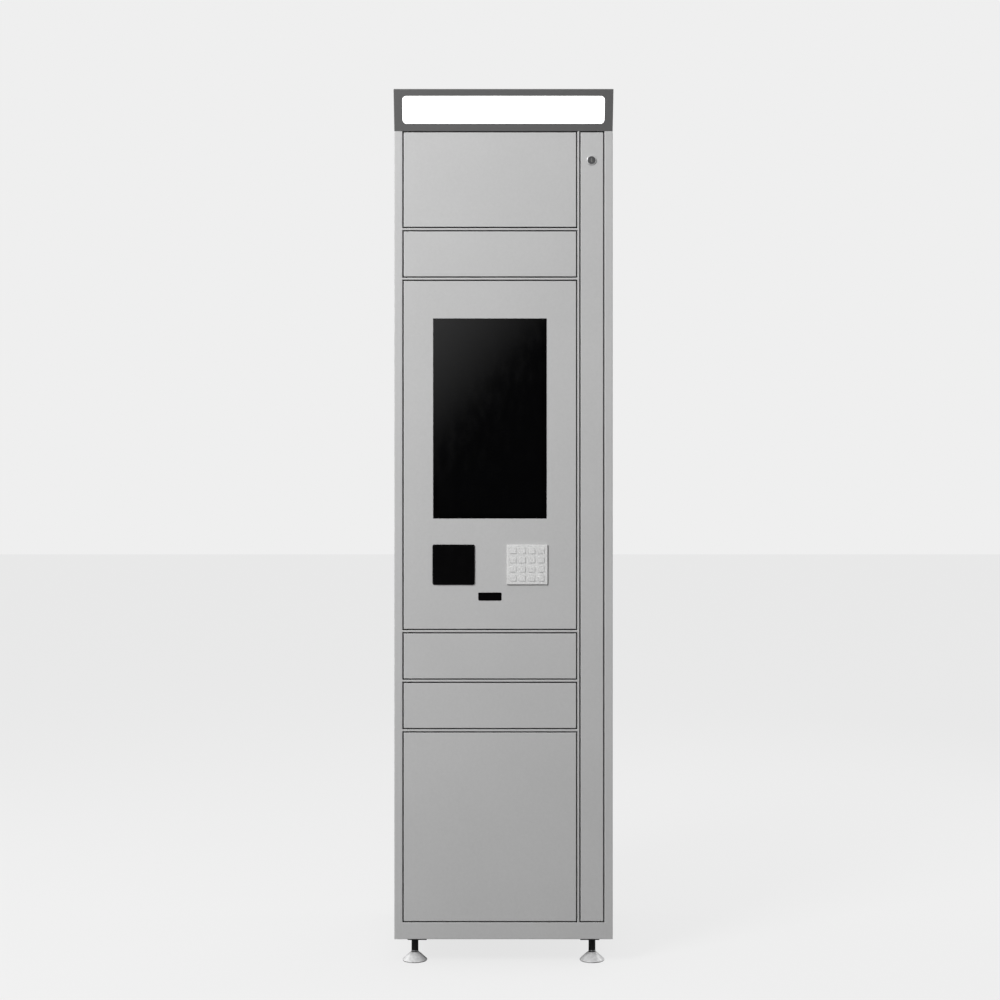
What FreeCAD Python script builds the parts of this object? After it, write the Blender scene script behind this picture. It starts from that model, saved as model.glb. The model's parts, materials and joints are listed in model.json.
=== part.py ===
"""Control column of a parcel locker: a sheet-steel cabinet on levelling feet, with five parcel
compartments, a kiosk door that carries the display, reader, keypad and scanner, a narrow
service door over the lock and cable channel, and a hood with a lit sign.

Millimetres. +Z up, the doors face -Y, and the origin is the centre of the footprint at the floor.
"""
import FreeCAD
import Part
import math
import os

V = FreeCAD.Vector
X, Y, Z = V(1, 0, 0), V(0, 1, 0), V(0, 0, 1)

# ---------------------------------------------------------------- driving dimensions
WIDTH = 500.0
BODY_DEPTH = 550.0          # doors' front face to the tips of the rear screw heads
TOTAL_HEIGHT = 2000.0
HOOD_LEAN = 30.0            # the hood's top edge stands this far forward of the doors
FOOT_HEIGHT = 60.0          # floor to the underside of the body
BASE_HEIGHT = 38.5          # visible bottom rail
RAIL = 5.0                  # visible front edge of a shelf
STILE = 19.0                # visible width of each outer stile
NOSE = 5.0                  # visible width of the post between compartments and service channel
DOOR_OPENING = 400.0        # width of a compartment's door opening
GAP = 2.5                   # round every door
SHEET = 1.5
THIN_SHEET = 1.2
DOOR_DEPTH = 18.0
EAR, EAR_DEPTH = 1.6, 1.8   # a rail's ends, let into the bends of the uprights beside it
# opening heights, from the bottom: four units, one, one, kiosk, one, two units
OPENINGS = {"compartment_5": 437.0, "compartment_4": 108.5, "compartment_3": 108.5,
            "kiosk": 802.0, "compartment_2": 108.5, "compartment_1": 221.7}

# ---------------------------------------------------------------- positions worked out from them
HALF = WIDTH / 2
FRONT = -(BODY_DEPTH + HOOD_LEAN) / 2 + HOOD_LEAN
BACK = FRONT + BODY_DEPTH
SCREW_HEAD = 2.2
BACK_FACE = BACK - SCREW_HEAD            # outer face of the back panel
BACK_INNER = BACK_FACE - THIN_SHEET
FLOOR_Z = FOOT_HEIGHT + BASE_HEIGHT      # lowest compartment's floor
OPEN_X0 = -HALF + STILE
OPEN_X1 = OPEN_X0 + DOOR_OPENING
SERVICE_X0 = OPEN_X1 + NOSE
SERVICE_X1 = HALF - STILE


def stack_openings():
    """{name: (lowest z, highest z)} of each opening, and the z of each shelf's underside."""
    spans, shelves, z = {}, [], FLOOR_Z
    for name, height in OPENINGS.items():
        spans[name] = (z, z + height)
        shelves.append(z + height)
        z += height + RAIL
    return spans, shelves[:-1], shelves[-1]


SPANS, SHELF_Z, ROOF_Z = stack_openings()
DOOR_X0, DOOR_X1 = OPEN_X0 + GAP, OPEN_X1 - GAP
DOOR_MID_X = (DOOR_X0 + DOOR_X1) / 2
SERVICE_DOOR_X0, SERVICE_DOOR_X1 = SERVICE_X0 + GAP, SERVICE_X1 - GAP

# hinges: vertical pins inside the door's thickness, close to its edge
HINGE_INSET, HINGE_BACK = 13.0, 7.0
HINGE_X = DOOR_X0 + HINGE_INSET
SERVICE_HINGE_X = SERVICE_DOOR_X1 - HINGE_INSET
HINGE_Y = FRONT + HINGE_BACK
PIN_R, PIN_REACH, PIN_CLEARANCE = 3.0, 12.0, 0.1
WASHER_R, WASHER_T = 5.5, 2.2

# lock strip: the post's flange behind the doors' free edge, with a slot for each striker
STRIP_X0 = OPEN_X1 - 28.0
STRIP_Y = FRONT + 24.0
RETURN_DEPTH = 22.0                      # how far stile returns and shelf lips run back
PARTITION_X = STRIP_X0                   # right-hand face of the partition wall
LOCK_X = (STRIP_X0 + OPEN_X1) / 2 + 1.0
SLOT_W, SLOT_DOWN, SLOT_UP = 10.0, 14.0, 10.0
CLAW_T = 3.0
PIVOT_Y, PIVOT_DROP = FRONT + 64.0, 12.0
CLAW_PIN_R, CLAW_CLEARANCE = 2.5, 0.1
RELEASE_ANGLE = 25.0                     # claw rests open, and turns this far to hold the striker

# hood
HOOD_REAR_DROP = 20.0
HOOD_HEIGHT = TOTAL_HEIGHT - ROOF_Z
LEAN_ANGLE = math.degrees(math.atan2(HOOD_LEAN, HOOD_HEIGHT))
SIGN_W, SIGN_H, SIGN_R, SIGN_MARGIN = 461.0, 62.0, 9.0, 16.8

# kiosk door
DISPLAY_W, DISPLAY_H, DISPLAY_Z = 259.2, 457.0, 1252.0
READER_W, READER_H, READER_X = 96.6, 92.0, DOOR_MID_X - 83.2
KEYPAD_W, KEYPAD_H, KEYPAD_X = 94.0, 91.5, DOOR_MID_X + 85.2
PANEL_ROW_Z = 917.5                      # height of the reader's and keypad's centres
SCANNER_W, SCANNER_H, SCANNER_Z = 52.8, 18.0, 844.3
KEY_W, KEY_H, KEY_PITCH_X, KEY_PITCH_Z = 14.0, 13.0, 21.5, 21.0
KEY_R, KEY_CLEARANCE, KEY_PROUD, KEY_TRAVEL = 2.0, 0.35, 1.2, 1.0
KEYPAD_PROUD, KEYPAD_SKIN = 4.0, 2.0
KEY_NAMES = ["1", "2", "3", "cancel", "4", "5", "6", "clear", "7", "8", "9", "enter",
             "star", "0", "hash", "help"]

# cam lock of the service door
CAM_X, CAM_Z = (SERVICE_DOOR_X0 + SERVICE_DOOR_X1) / 2 - 0.8, 1843.0
BARREL_R, PLUG_R, CAM_LENGTH = 10.2, 9.0, 26.0

# feet
FOOT_X, FOOT_FRONT_Y, FOOT_REAR_Y = 205.0, FRONT + 48.0, BACK - 50.0
STUD_R, PAD_R, PAD_TOP, SOLE_T = 7.9, 28.5, 20.0, 1.5
NUT_AF, WELD_NUT_H, LOCK_NUT_H = 24.0, 13.0, 8.0
RAIL_X, RAIL_HALF_W, RAIL_DROP = FOOT_X - 6.0, 22.0, 45.6    # base rails, drop below the floor
RAIL_SHEET, RAIL_Y0, RAIL_Y1 = 2.5, FRONT + 27.5, BACK_INNER - 12.0

# fixings to the building and to neighbouring columns
JOIN_HOLE_R, JOIN_Y, JOIN_Z = 4.5, (FRONT + 60.0, BACK - 50.0), (180.0, 1840.0)
WALL_HOLE_R, WALL_X, WALL_Z = 5.5, (-200.0, 100.0), (240.0, 1840.0)
GLAND_X, GLAND_Y, GLAND_BORE_R = 158.0, 205.0, 8.0
GLAND_R, GLAND_AF, GLAND_DOME_AF = 12.5, 30.0, 27.0

# screws of the back panel and hood, driven from behind
SCREW_SHANK_R = 2.0
BACK_SCREWS = [(side * (HALF - 12), z) for side in (-1, 1)
               for z in (110.0, 470.0, 830.0, 1190.0, 1550.0, 1895.0)]
HOOD_SCREWS = [(x, ROOF_Z + 10.0) for x in (-200.0, -66.0, 66.0, 200.0)]

# equipment at the back of the kiosk bay: x0, x1, z0, z1 on its plate
PLATE_Y = BACK_INNER - 20.0              # front face of the equipment plate
PLATE = (-205.0, 105.0, 940.0, 1500.0)
COMPUTER = (-185.0, 35.0, 1270.0, 1450.0)
SUPPLY = (-185.0, -75.0, 980.0, 1190.0)
CONTROLLER = (-45.0, 75.0, 980.0, 1190.0)

# wiring: the trunk in the service channel, and where it passes through the partition
TRUNK_X, TRUNK_Y, TRUNK_R = LOCK_X + 1.0, STRIP_Y + 118.0, 6.5
LOOM_PASS_Y, LOOM_PASS_Z = 150.0, 1230.0
BRANCH_R, FEED_R = 2.6, 5.0


# ---------------------------------------------------------------- drawing helpers
def box(x0, x1, y0, y1, z0, z1):
    return Part.makeBox(x1 - x0, y1 - y0, z1 - z0, V(x0, y0, z0))


def rod(radius, start, end):
    """A cylinder from one point to another."""
    along = end - start
    return Part.makeCylinder(radius, along.Length, start, along)


def place(plane, u, v, w):
    """A point of a drawing plane: XY, YZ or XZ, at w along the third axis."""
    return {"XY": V(u, v, w), "YZ": V(w, u, v), "XZ": V(u, w, v)}[plane]


def outline(plane, points, radii, w):
    """A closed wire through the points, with a tangent arc of each point's radius."""
    edges, ends = [], []
    count = len(points)
    for i in range(count):
        before, here, after = (V(*points[(i + k) % count], 0) for k in (-1, 0, 1))
        if radii[i] <= 0:
            ends.append((here, here))
            continue
        a, b = (here - before).normalize(), (after - here).normalize()
        turn = a.getAngle(b)
        reach = radii[i] * math.tan(turn / 2)
        inward = (b - a).normalize()
        centre = here + inward * (radii[i] / math.cos(turn / 2))
        start, end = here - a * reach, here + b * reach
        middle = centre - inward * radii[i]
        arc = Part.Arc(*(place(plane, p.x, p.y, w) for p in (start, middle, end)))
        edges.append((i, arc.toShape()))
        ends.append((start, end))
    arcs = dict(edges)
    wire = []
    for i in range(count):
        if i in arcs:
            wire.append(arcs[i])
        start, end = ends[i][1], ends[(i + 1) % count][0]
        if (end - start).Length > 1e-6:
            line = Part.LineSegment(place(plane, start.x, start.y, w), place(plane, end.x, end.y, w))
            wire.append(line.toShape())
    return Part.Wire(wire)


def prism(plane, points, w0, w1, radii=None):
    """A solid with that outline, from w0 to w1 along the plane's normal."""
    face = Part.Face(outline(plane, points, radii or [0] * len(points), w0))
    return face.extrude(place(plane, 0, 0, w1 - w0))


def folded(plane, path, w0, w1, thickness=SHEET, bend=0.5):
    """Sheet metal bent along a path of mid-line points, with that inside bend radius."""
    points = [V(u, v, 0) for u, v in path]
    runs = [(b - a).normalize() for a, b in zip(points, points[1:])]
    normals = [V(-d.y, d.x, 0) for d in runs]
    sides = []
    for side in (1, -1):
        corners = []
        for i, point in enumerate(points):
            n0, n1 = normals[max(i - 1, 0)], normals[min(i, len(runs) - 1)]
            shift = (n0 + n1) * (side * thickness / 2 / (1 + n0.dot(n1)))
            radius = 0.0
            if 0 < i < len(points) - 1:
                left_turn = runs[i - 1].cross(runs[i]).z > 0
                radius = bend if left_turn == (side > 0) else bend + thickness
            corners.append((point + shift, radius))
        sides.append(corners)
    ring = sides[0] + sides[1][::-1]
    return prism(plane, [(p.x, p.y) for p, _ in ring], w0, w1, [r for _, r in ring])


def plate(x0, x1, z0, z1, y0, y1, radius):
    """An upright plate with rounded corners, from y0 to y1."""
    return prism("XZ", [(x0, z0), (x1, z0), (x1, z1), (x0, z1)], y0, y1, [radius] * 4)


def centred_plate(x, z, width, height, y0, y1, radius):
    return plate(x - width / 2, x + width / 2, z - height / 2, z + height / 2, y0, y1, radius)


def hexagon(centre, across_flats, height):
    """An upright hexagonal prism, such as a nut, from its lower face; two flats face +X and -X."""
    corner = across_flats / math.sqrt(3)
    points = [(centre.x + corner * math.cos(math.radians(30 + 60 * k)),
               centre.y + corner * math.sin(math.radians(30 + 60 * k))) for k in range(6)]
    return prism("XY", points, centre.z, centre.z + height)


def fuse(first, *others):
    return first.multiFuse(list(others)).removeSplitter() if others else first


def cut(shape, *tools):
    return shape.cut(list(tools)) if tools else shape


def soften(shape, radius, wanted):
    """Rounds the edges for which wanted(edge) is true."""
    return shape.makeFillet(radius, [e for e in shape.Edges if wanted(e)])


def on_front_face(edge, y):
    return all(abs(v.Point.y - y) < 1e-4 for v in edge.Vertexes)


def save(name, *solids):
    """Writes one node: every solid in it stays a separate solid."""
    found = [s for shape in solids for s in shape.Solids]
    for solid in found:
        if not solid.isValid() or solid.Volume <= 0:
            raise ValueError(f"{name} has a bad solid")
    Part.makeCompound(found).exportStep(f"parts/{name}.step")


# ---------------------------------------------------------------- fasteners
def pan_screw(x, y, z, length=8.0):
    """A pan-head screw driven along -Y, with a hexagonal socket; (x, y, z) is under its head."""
    head = Part.makeCylinder(4.0, SCREW_HEAD, V(x, y, z), Y)
    head = soften(head, 1.4, lambda e: abs(e.Vertexes[0].Point.y - (y + SCREW_HEAD)) < 1e-4)
    socket = Part.makeCylinder(1.4, 1.3, V(x, y + SCREW_HEAD - 1.3, z), Y)
    return fuse(cut(head, socket), rod(SCREW_SHANK_R, V(x, y - length, z), V(x, y, z)))


def screw_holes(points, y0, y1):
    return [rod(SCREW_SHANK_R + 0.05, V(x, y0, z), V(x, y1, z)) for x, z in points]


# ---------------------------------------------------------------- carcass
def side_panel(side):
    """One folded side: stile and its return at the front, a flange for the back panel behind."""
    inner = HALF - STILE
    path = [(side * (inner + SHEET / 2), FRONT + RETURN_DEPTH),
            (side * (inner + SHEET / 2), FRONT + SHEET / 2),
            (side * (HALF - SHEET / 2), FRONT + SHEET / 2),
            (side * (HALF - SHEET / 2), BACK_INNER - SHEET / 2),
            (side * (HALF - 25.0), BACK_INNER - SHEET / 2)]
    panel = folded("XY", path, FOOT_HEIGHT, ROOF_Z)
    x0, x1 = sorted((side * (HALF - 17.0), side * (HALF - SHEET)))
    top_flange = box(x0, x1, FRONT + SHEET, BACK_INNER - SHEET, ROOF_Z - SHEET, ROOF_Z)
    holes = [rod(JOIN_HOLE_R, V(side * (HALF - 3), y, z), V(side * (HALF + 3), y, z))
             for y in JOIN_Y for z in JOIN_Z]
    return cut(fuse(panel, top_flange), *holes, *screw_holes(BACK_SCREWS, BACK_INNER - 5, BACK))


def back_panel():
    """Flat sheet with wall-fixing holes, and vent slots behind the kiosk bay and the channel."""
    sheet = box(-HALF + 2, HALF - 2, BACK_INNER, BACK_FACE, FOOT_HEIGHT + 2, ROOF_Z - 1)
    slot_w, slot_h, pitch, rows = 62.0, 5.0, 13.0, 8
    vents = []
    for base_z in (800.0, 1450.0):
        for mid_x in (-180.0, -100.0, 60.0, 195.0):
            for row in range(rows):
                vents.append(centred_plate(mid_x, base_z + row * pitch, slot_w, slot_h,
                                           BACK_INNER - 1, BACK_FACE + 1, slot_h / 2 - 0.01))
    anchors = [rod(WALL_HOLE_R, V(x, BACK_INNER - 1, z), V(x, BACK_FACE + 1, z))
               for x in WALL_X for z in WALL_Z]
    return cut(sheet, *vents, *anchors, *screw_holes(BACK_SCREWS, BACK_INNER - 1, BACK))


def hinge_holes(z0, z1):
    return [rod(PIN_R, V(x, HINGE_Y, z0), V(x, HINGE_Y, z1)) for x in (HINGE_X, SERVICE_HINGE_X)]


def roof_panel():
    """Closes the carcass under the hood; turned up at the sides and rear to screw the hood to."""
    x, y0, y1, lip = HALF - SHEET - 0.5, FRONT + 2.0, BACK_FACE - SHEET - 0.2, 20.0
    tray = cut(box(-x, x, y0, y1, ROOF_Z, ROOF_Z + lip),
               box(-x + SHEET, x - SHEET, y0 - 1, y1 - SHEET, ROOF_Z + SHEET, ROOF_Z + lip + 1))
    cable_hole = rod(14.0, V(195, 120, ROOF_Z - 1), V(195, 120, ROOF_Z + SHEET + 1))
    return cut(tray, cable_hole, *hinge_holes(ROOF_Z - 1, ROOF_Z + 5),
               *screw_holes(HOOD_SCREWS, y1 - 5, BACK))


def floor_pan():
    """Floor of the lowest compartment with a skirt all round; the front skirt is the bottom rail.

    Small ears at the rail's ends fill the stiles' bends, so that the joints are flush."""
    step_y, side_x, rear_y = FRONT + 24.0, HALF - SHEET - 0.1, BACK_INNER - SHEET - 0.2
    outer = fuse(box(OPEN_X0, SERVICE_X1, FRONT, step_y + 1, FOOT_HEIGHT, FLOOR_Z),
                 box(OPEN_X0 - EAR, SERVICE_X1 + EAR, FRONT, FRONT + EAR_DEPTH,
                     FOOT_HEIGHT, FLOOR_Z),
                 box(-side_x, side_x, step_y, rear_y, FOOT_HEIGHT, FLOOR_Z))
    outer = soften(outer, SHEET, lambda e: on_front_face(e, FRONT)
                   and abs(e.Vertexes[0].Point.z - e.Vertexes[1].Point.z) < 1e-4)
    below = FOOT_HEIGHT - 1
    hollow = fuse(box(OPEN_X0 + SHEET, SERVICE_X1 - SHEET, FRONT + SHEET, step_y + 3,
                      below, FLOOR_Z - SHEET),
                  box(-side_x + SHEET, side_x - SHEET, step_y + SHEET, rear_y - SHEET,
                      below, FLOOR_Z - SHEET))
    gland = rod(GLAND_R + 0.05, V(GLAND_X, GLAND_Y, FLOOR_Z - 5), V(GLAND_X, GLAND_Y, FLOOR_Z + 1))
    pan = cut(outer, hollow, gland, *hinge_holes(FLOOR_Z - 5, FLOOR_Z + 1))
    return cut(pan, side_panel(-1), side_panel(1))


def lock_post():
    """Folded post: nose between the door columns, lock strip to its left, keeper to its right."""
    left, right = OPEN_X1 + SHEET / 2, SERVICE_X0 - SHEET / 2
    strip, keeper = STRIP_Y + SHEET / 2, FRONT + 19.0 + SHEET / 2
    path = [(STRIP_X0 + SHEET / 2, FRONT + 62.0), (STRIP_X0 + SHEET / 2, strip), (left, strip),
            (left, FRONT + SHEET / 2), (right, FRONT + SHEET / 2), (right, keeper),
            (SERVICE_X0 + 10.0, keeper)]
    post = folded("XY", path, FLOOR_Z, ROOF_Z, bend=0.3)
    slots = [box(LOCK_X - SLOT_W / 2, LOCK_X + SLOT_W / 2, STRIP_Y - 1, STRIP_Y + SHEET + 1,
                 z - SLOT_DOWN, z + SLOT_UP) for z in lock_heights()]
    return cut(post, *slots)


def partition_wall():
    """Wall between the compartments and the service channel, with a grommet hole for the loom."""
    x = PARTITION_X - THIN_SHEET / 2
    y1 = BACK_INNER - SHEET - THIN_SHEET
    wall = folded("XY", [(x, STRIP_Y + 3.0), (x, y1), (x + 20.0, y1)], FLOOR_Z, ROOF_Z, THIN_SHEET)
    grommet = rod(18.0, V(x - 5, LOOM_PASS_Y, LOOM_PASS_Z), V(x + 5, LOOM_PASS_Y, LOOM_PASS_Z))
    return cut(wall, grommet)


def shelf(z):
    """One shelf: its hemmed front edge is the rail between two doors, and the deck runs back."""
    t = THIN_SHEET
    deck_y1 = BACK_INNER - SHEET - 0.3
    path = [(FRONT + RETURN_DEPTH, z + t / 2), (FRONT + t / 2, z + t / 2),
            (FRONT + t / 2, z + RAIL - t / 2), (deck_y1, z + RAIL - t / 2)]
    rail = folded("YZ", path, OPEN_X0 - EAR, OPEN_X1 + EAR, t, bend=0.3)
    behind = [box(x0, x1, FRONT + EAR_DEPTH, BACK, z - 1, z + RAIL + 1)
              for x0, x1 in ((OPEN_X0 - 5, OPEN_X0), (OPEN_X1, OPEN_X1 + 5))]
    rail = cut(rail, *behind, side_panel(-1), lock_post())
    right = PARTITION_X - THIN_SHEET
    beyond = box(right, OPEN_X1 + 1, STRIP_Y - 0.5, deck_y1 + 1, z - 1, z + RAIL + 1)
    wing = box(-HALF + SHEET + 0.1, OPEN_X0 + 1, STRIP_Y, deck_y1, z + RAIL - t, z + RAIL)
    return cut(fuse(cut(rail, beyond), wing), *hinge_holes(z - 1, z + RAIL + 1))


# ---------------------------------------------------------------- base and feet
def foot_places():
    return [V(x, y, 0) for x in (-FOOT_X, FOOT_X) for y in (FOOT_FRONT_Y, FOOT_REAR_Y)]


def base_rails():
    """Two inverted channels under the floor, capped in front, with a weld nut over each foot."""
    t, top = RAIL_SHEET, FLOOR_Z - SHEET
    low = top - RAIL_DROP
    solids = []
    for side in (-1, 1):
        x0, x1 = side * RAIL_X - RAIL_HALF_W, side * RAIL_X + RAIL_HALF_W
        path = [(x0 + t / 2, low), (x0 + t / 2, top - t / 2),
                (x1 - t / 2, top - t / 2), (x1 - t / 2, low)]
        rail = folded("XZ", path, RAIL_Y0 + t, RAIL_Y1, t, bend=1.5)
        cap = box(x0, x1, RAIL_Y0, RAIL_Y0 + t, low, top - 4.0)
        bores = [rod(STUD_R + 0.1, V(side * FOOT_X, y, top - 6), V(side * FOOT_X, y, top + 1))
                 for y in (FOOT_FRONT_Y, FOOT_REAR_Y)]
        solids.append(cut(fuse(rail, cap), *bores))
    for place_at in foot_places():
        at = place_at + Z * (top - t - WELD_NUT_H)
        bore = rod(STUD_R + 0.1, at - Z, at + Z * (WELD_NUT_H + 1))
        solids.append(cut(hexagon(at, NUT_AF, WELD_NUT_H), bore))
    return solids


def foot_stud(at):
    """Levelling stud, with a turned groove just above its foot."""
    stud = rod(STUD_R, at + Z * (SOLE_T + 3.5), at + Z * (FLOOR_Z - SHEET - 2.0))
    stud = soften(stud, 0.8, lambda e: len(e.Vertexes) == 1)
    groove_z, groove_h, depth = PAD_TOP + 2.4, 1.2, 0.8
    groove = cut(rod(STUD_R + 1, at + Z * groove_z, at + Z * (groove_z + groove_h)),
                 rod(STUD_R - depth, at + Z * (groove_z - 1), at + Z * (groove_z + groove_h + 1)))
    return cut(stud, groove)


def lock_nut(at):
    """Nut that locks the stud against the weld nut."""
    low = at + Z * (FLOOR_Z - SHEET - RAIL_SHEET - WELD_NUT_H - LOCK_NUT_H)
    return cut(hexagon(low, NUT_AF, LOCK_NUT_H), rod(STUD_R + 0.1, low - Z, low + Z * (LOCK_NUT_H + 1)))


def foot_pad(at):
    """Conical foot with a thin upright rim, bored for the stud."""
    neck, shoulder = (9.2, PAD_TOP), (15.0, PAD_TOP - 4.6)
    points = [(0, SOLE_T), (PAD_R, SOLE_T), (PAD_R, SOLE_T + 1.3), shoulder, neck, (0, PAD_TOP)]
    face = Part.Face(outline("XZ", points, [0, 0.3, 0.8, 12.0, 0.5, 0], 0))
    cone = face.revolve(V(0, 0, 0), Z, 360)
    cone.translate(at)
    return cut(cone, rod(STUD_R + 0.1, at + Z * (SOLE_T + 3.4), at + Z * (PAD_TOP + 1)))


def foot_sole(at):
    return soften(rod(PAD_R - 1.0, at, at + Z * SOLE_T), 0.4,
                  lambda e: len(e.Vertexes) == 1 and e.Vertexes[0].Point.z < 0.1)


# ---------------------------------------------------------------- doors
def door_pan(x0, x1, span, lips, cutouts=(), stiffeners=()):
    """A folded door: front sheet, flanges all round, and lips turned in behind them.

    lips is (left, right, top and bottom). Stiffeners are x positions of welded channels."""
    z0, z1 = span[0] + GAP, span[1] - GAP
    left, right, ends = lips
    pan = box(x0, x1, FRONT, FRONT + DOOR_DEPTH, z0, z1)
    pan = soften(pan, SHEET - 0.1, lambda e: on_front_face(e, FRONT))
    hollow = box(x0 + SHEET, x1 - SHEET, FRONT + SHEET, FRONT + DOOR_DEPTH - SHEET,
                 z0 + SHEET, z1 - SHEET)
    rear = box(x0 + left, x1 - right, FRONT + SHEET, FRONT + DOOR_DEPTH + 1, z0 + ends, z1 - ends)
    hinge_x = HINGE_X if x0 < HINGE_X < x1 else SERVICE_HINGE_X
    bore = rod(PIN_R + PIN_CLEARANCE, V(hinge_x, HINGE_Y, z0 - 1), V(hinge_x, HINGE_Y, z1 + 1))
    solids = [cut(pan, hollow, rear, bore, *cutouts)]
    t, half_w, depth = THIN_SHEET, 16.0, DOOR_DEPTH - SHEET - 4.0
    for x in stiffeners:
        y = FRONT + SHEET + t / 2
        path = [(x - half_w, y), (x - half_w / 2, y), (x - half_w / 2, y + depth),
                (x + half_w / 2, y + depth), (x + half_w / 2, y), (x + half_w, y)]
        solids.append(folded("XY", path, z0 + ends + 2, z1 - ends - 2, t, bend=0.6))
    return solids


def lock_height(name):
    return sum(SPANS[name]) / 2


def lock_heights():
    return [lock_height(name) for name in SPANS]


def striker(name):
    """The hook that a door's claw holds: a base riveted to the lip, and a notched tongue."""
    z, rear = lock_height(name), FRONT + DOOR_DEPTH
    base = plate(LOCK_X - 10, DOOR_X1 - 1.5, z - 16, z + 16, rear, rear + 2.0, 2.0)
    tongue = [(18, -6), (34.5, -6), (34.5, 1), (44, 1), (44, -6), (47, -6), (51, -2), (51, 3),
              (48, 6), (18, 6)]
    hook = prism("YZ", [(FRONT + y, z + h) for y, h in tongue],
                 LOCK_X - CLAW_T / 2, LOCK_X + CLAW_T / 2)
    rivets = [soften(rod(2.6, V(LOCK_X + 5, rear + 2.0, z + dz), V(LOCK_X + 5, rear + 3.2, z + dz)),
                     0.8, lambda e: abs(e.Vertexes[0].Point.y - rear - 3.2) < 1e-4)
              for dz in (-11.0, 11.0)]
    return fuse(base, hook, *rivets)


def compartment_door(name):
    tall = SPANS[name][1] - SPANS[name][0] > 200
    stiffeners = [DOOR_MID_X - 90, DOOR_MID_X + 70] if tall else []
    return door_pan(DOOR_X0, DOOR_X1, SPANS[name], (12.0, 30.0, 12.0),
                    stiffeners=stiffeners) + [striker(name)]


def kiosk_door():
    """The kiosk door's pan, cut out for everything that it carries."""
    y0, y1 = FRONT - 1, FRONT + SHEET + 1
    cutouts = [
        centred_plate(DOOR_MID_X, DISPLAY_Z, DISPLAY_W + 1.2, DISPLAY_H + 1.2, y0, y1, 1.0),
        centred_plate(READER_X, PANEL_ROW_Z, READER_W - 14, READER_H - 14, y0, y1, 3.0),
        centred_plate(KEYPAD_X, PANEL_ROW_Z, KEYPAD_W - 9, KEYPAD_H - 9, y0, y1, 3.0),
        centred_plate(DOOR_MID_X, SCANNER_Z, SCANNER_W + 0.8, SCANNER_H + 0.8, y0, y1, 2.8)]
    return door_pan(DOOR_X0, DOOR_X1, SPANS["kiosk"], (12.0, 30.0, 12.0), cutouts,
                    stiffeners=[DOOR_X0 + 30.0, DOOR_X1 - 33.0]) + [striker("kiosk")]


def service_door():
    keyhole = rod(BARREL_R + 0.1, V(CAM_X, FRONT - 1, CAM_Z), V(CAM_X, FRONT + SHEET + 1, CAM_Z))
    span = (FLOOR_Z, ROOF_Z)
    return door_pan(SERVICE_DOOR_X0, SERVICE_DOOR_X1, span, (8.0, 8.0, 12.0), [keyhole])


def hinge_pins():
    """Fixed pins and their washers: one at each rail for the main column, two for the service door."""
    solids = []
    levels = [(FLOOR_Z - SHEET, FLOOR_Z)] + [(z, z + RAIL) for z in SHELF_Z]
    for low, high in levels:
        reach_down = PIN_REACH + GAP if low > FLOOR_Z else 4.0
        pins = [HINGE_X] if low > FLOOR_Z else [HINGE_X, SERVICE_HINGE_X]
        for x in pins:
            solids.append(rod(PIN_R, V(x, HINGE_Y, low - reach_down),
                              V(x, HINGE_Y, high + GAP + PIN_REACH)))
            washer = cut(rod(WASHER_R, V(x, HINGE_Y, high), V(x, HINGE_Y, high + WASHER_T)),
                         rod(PIN_R, V(x, HINGE_Y, high - 1), V(x, HINGE_Y, high + 5)))
            solids.append(washer)
    for x in (HINGE_X, SERVICE_HINGE_X):
        shank = rod(PIN_R, V(x, HINGE_Y, ROOF_Z - GAP - PIN_REACH), V(x, HINGE_Y, ROOF_Z + SHEET))
        head = rod(4.5, V(x, HINGE_Y, ROOF_Z + SHEET), V(x, HINGE_Y, ROOF_Z + SHEET + 2.5))
        solids.append(fuse(shank, head))
    return solids


# ---------------------------------------------------------------- locks
def lock_housing(z):
    """Case of one lock behind the strip: a mouth for the striker, the claw's pivot, a connector."""
    y0, y1, wall = STRIP_Y + SHEET, STRIP_Y + 63.0, 1.5
    half_w = 8.0
    case = box(LOCK_X - half_w, LOCK_X + half_w, y0, y1, z - 34, z + 28)
    case = soften(case, 1.5, lambda e: abs(e.Vertexes[0].Point.y - e.Vertexes[1].Point.y) > 10)
    inside = box(LOCK_X - half_w + wall, LOCK_X + half_w - wall, y0 + wall, y1 - wall,
                 z - 34 + wall, z + 28 - wall)
    mouth = box(LOCK_X - SLOT_W / 2, LOCK_X + SLOT_W / 2, y0 - 1, y0 + 3, z - SLOT_DOWN, z + SLOT_UP)
    pivot = rod(CLAW_PIN_R, V(LOCK_X - half_w + wall, PIVOT_Y, z - PIVOT_DROP),
                V(LOCK_X + half_w - wall, PIVOT_Y, z - PIVOT_DROP))
    connector = box(LOCK_X - 5, LOCK_X + 5, y1, y1 + 7, z - 4, z + 4)
    return fuse(cut(case, inside, mouth), pivot, connector)


def claw(name):
    """Hooked lever that swings up into the striker's notch; drawn holding, then turned open."""
    z = lock_height(name) - PIVOT_DROP
    hook = [(-26.5, -5), (-26.5, 9.5), (-25.2, 11.5), (-22.8, 11.5), (-21.5, 9.5), (-21.5, 2),
            (-4, 6), (0, 6), (0, -6), (-4, -6)]
    lever = prism("YZ", [(PIVOT_Y + y, z + h) for y, h in hook],
                  LOCK_X - CLAW_T / 2, LOCK_X + CLAW_T / 2)
    boss = rod(6.0, V(LOCK_X - 5, PIVOT_Y, z), V(LOCK_X + 5, PIVOT_Y, z))
    bore = rod(CLAW_PIN_R + CLAW_CLEARANCE, V(LOCK_X - 9, PIVOT_Y, z), V(LOCK_X + 9, PIVOT_Y, z))
    shape = cut(fuse(lever, boss), bore)
    shape.rotate(V(LOCK_X, PIVOT_Y, z), X, RELEASE_ANGLE)
    return shape


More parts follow.
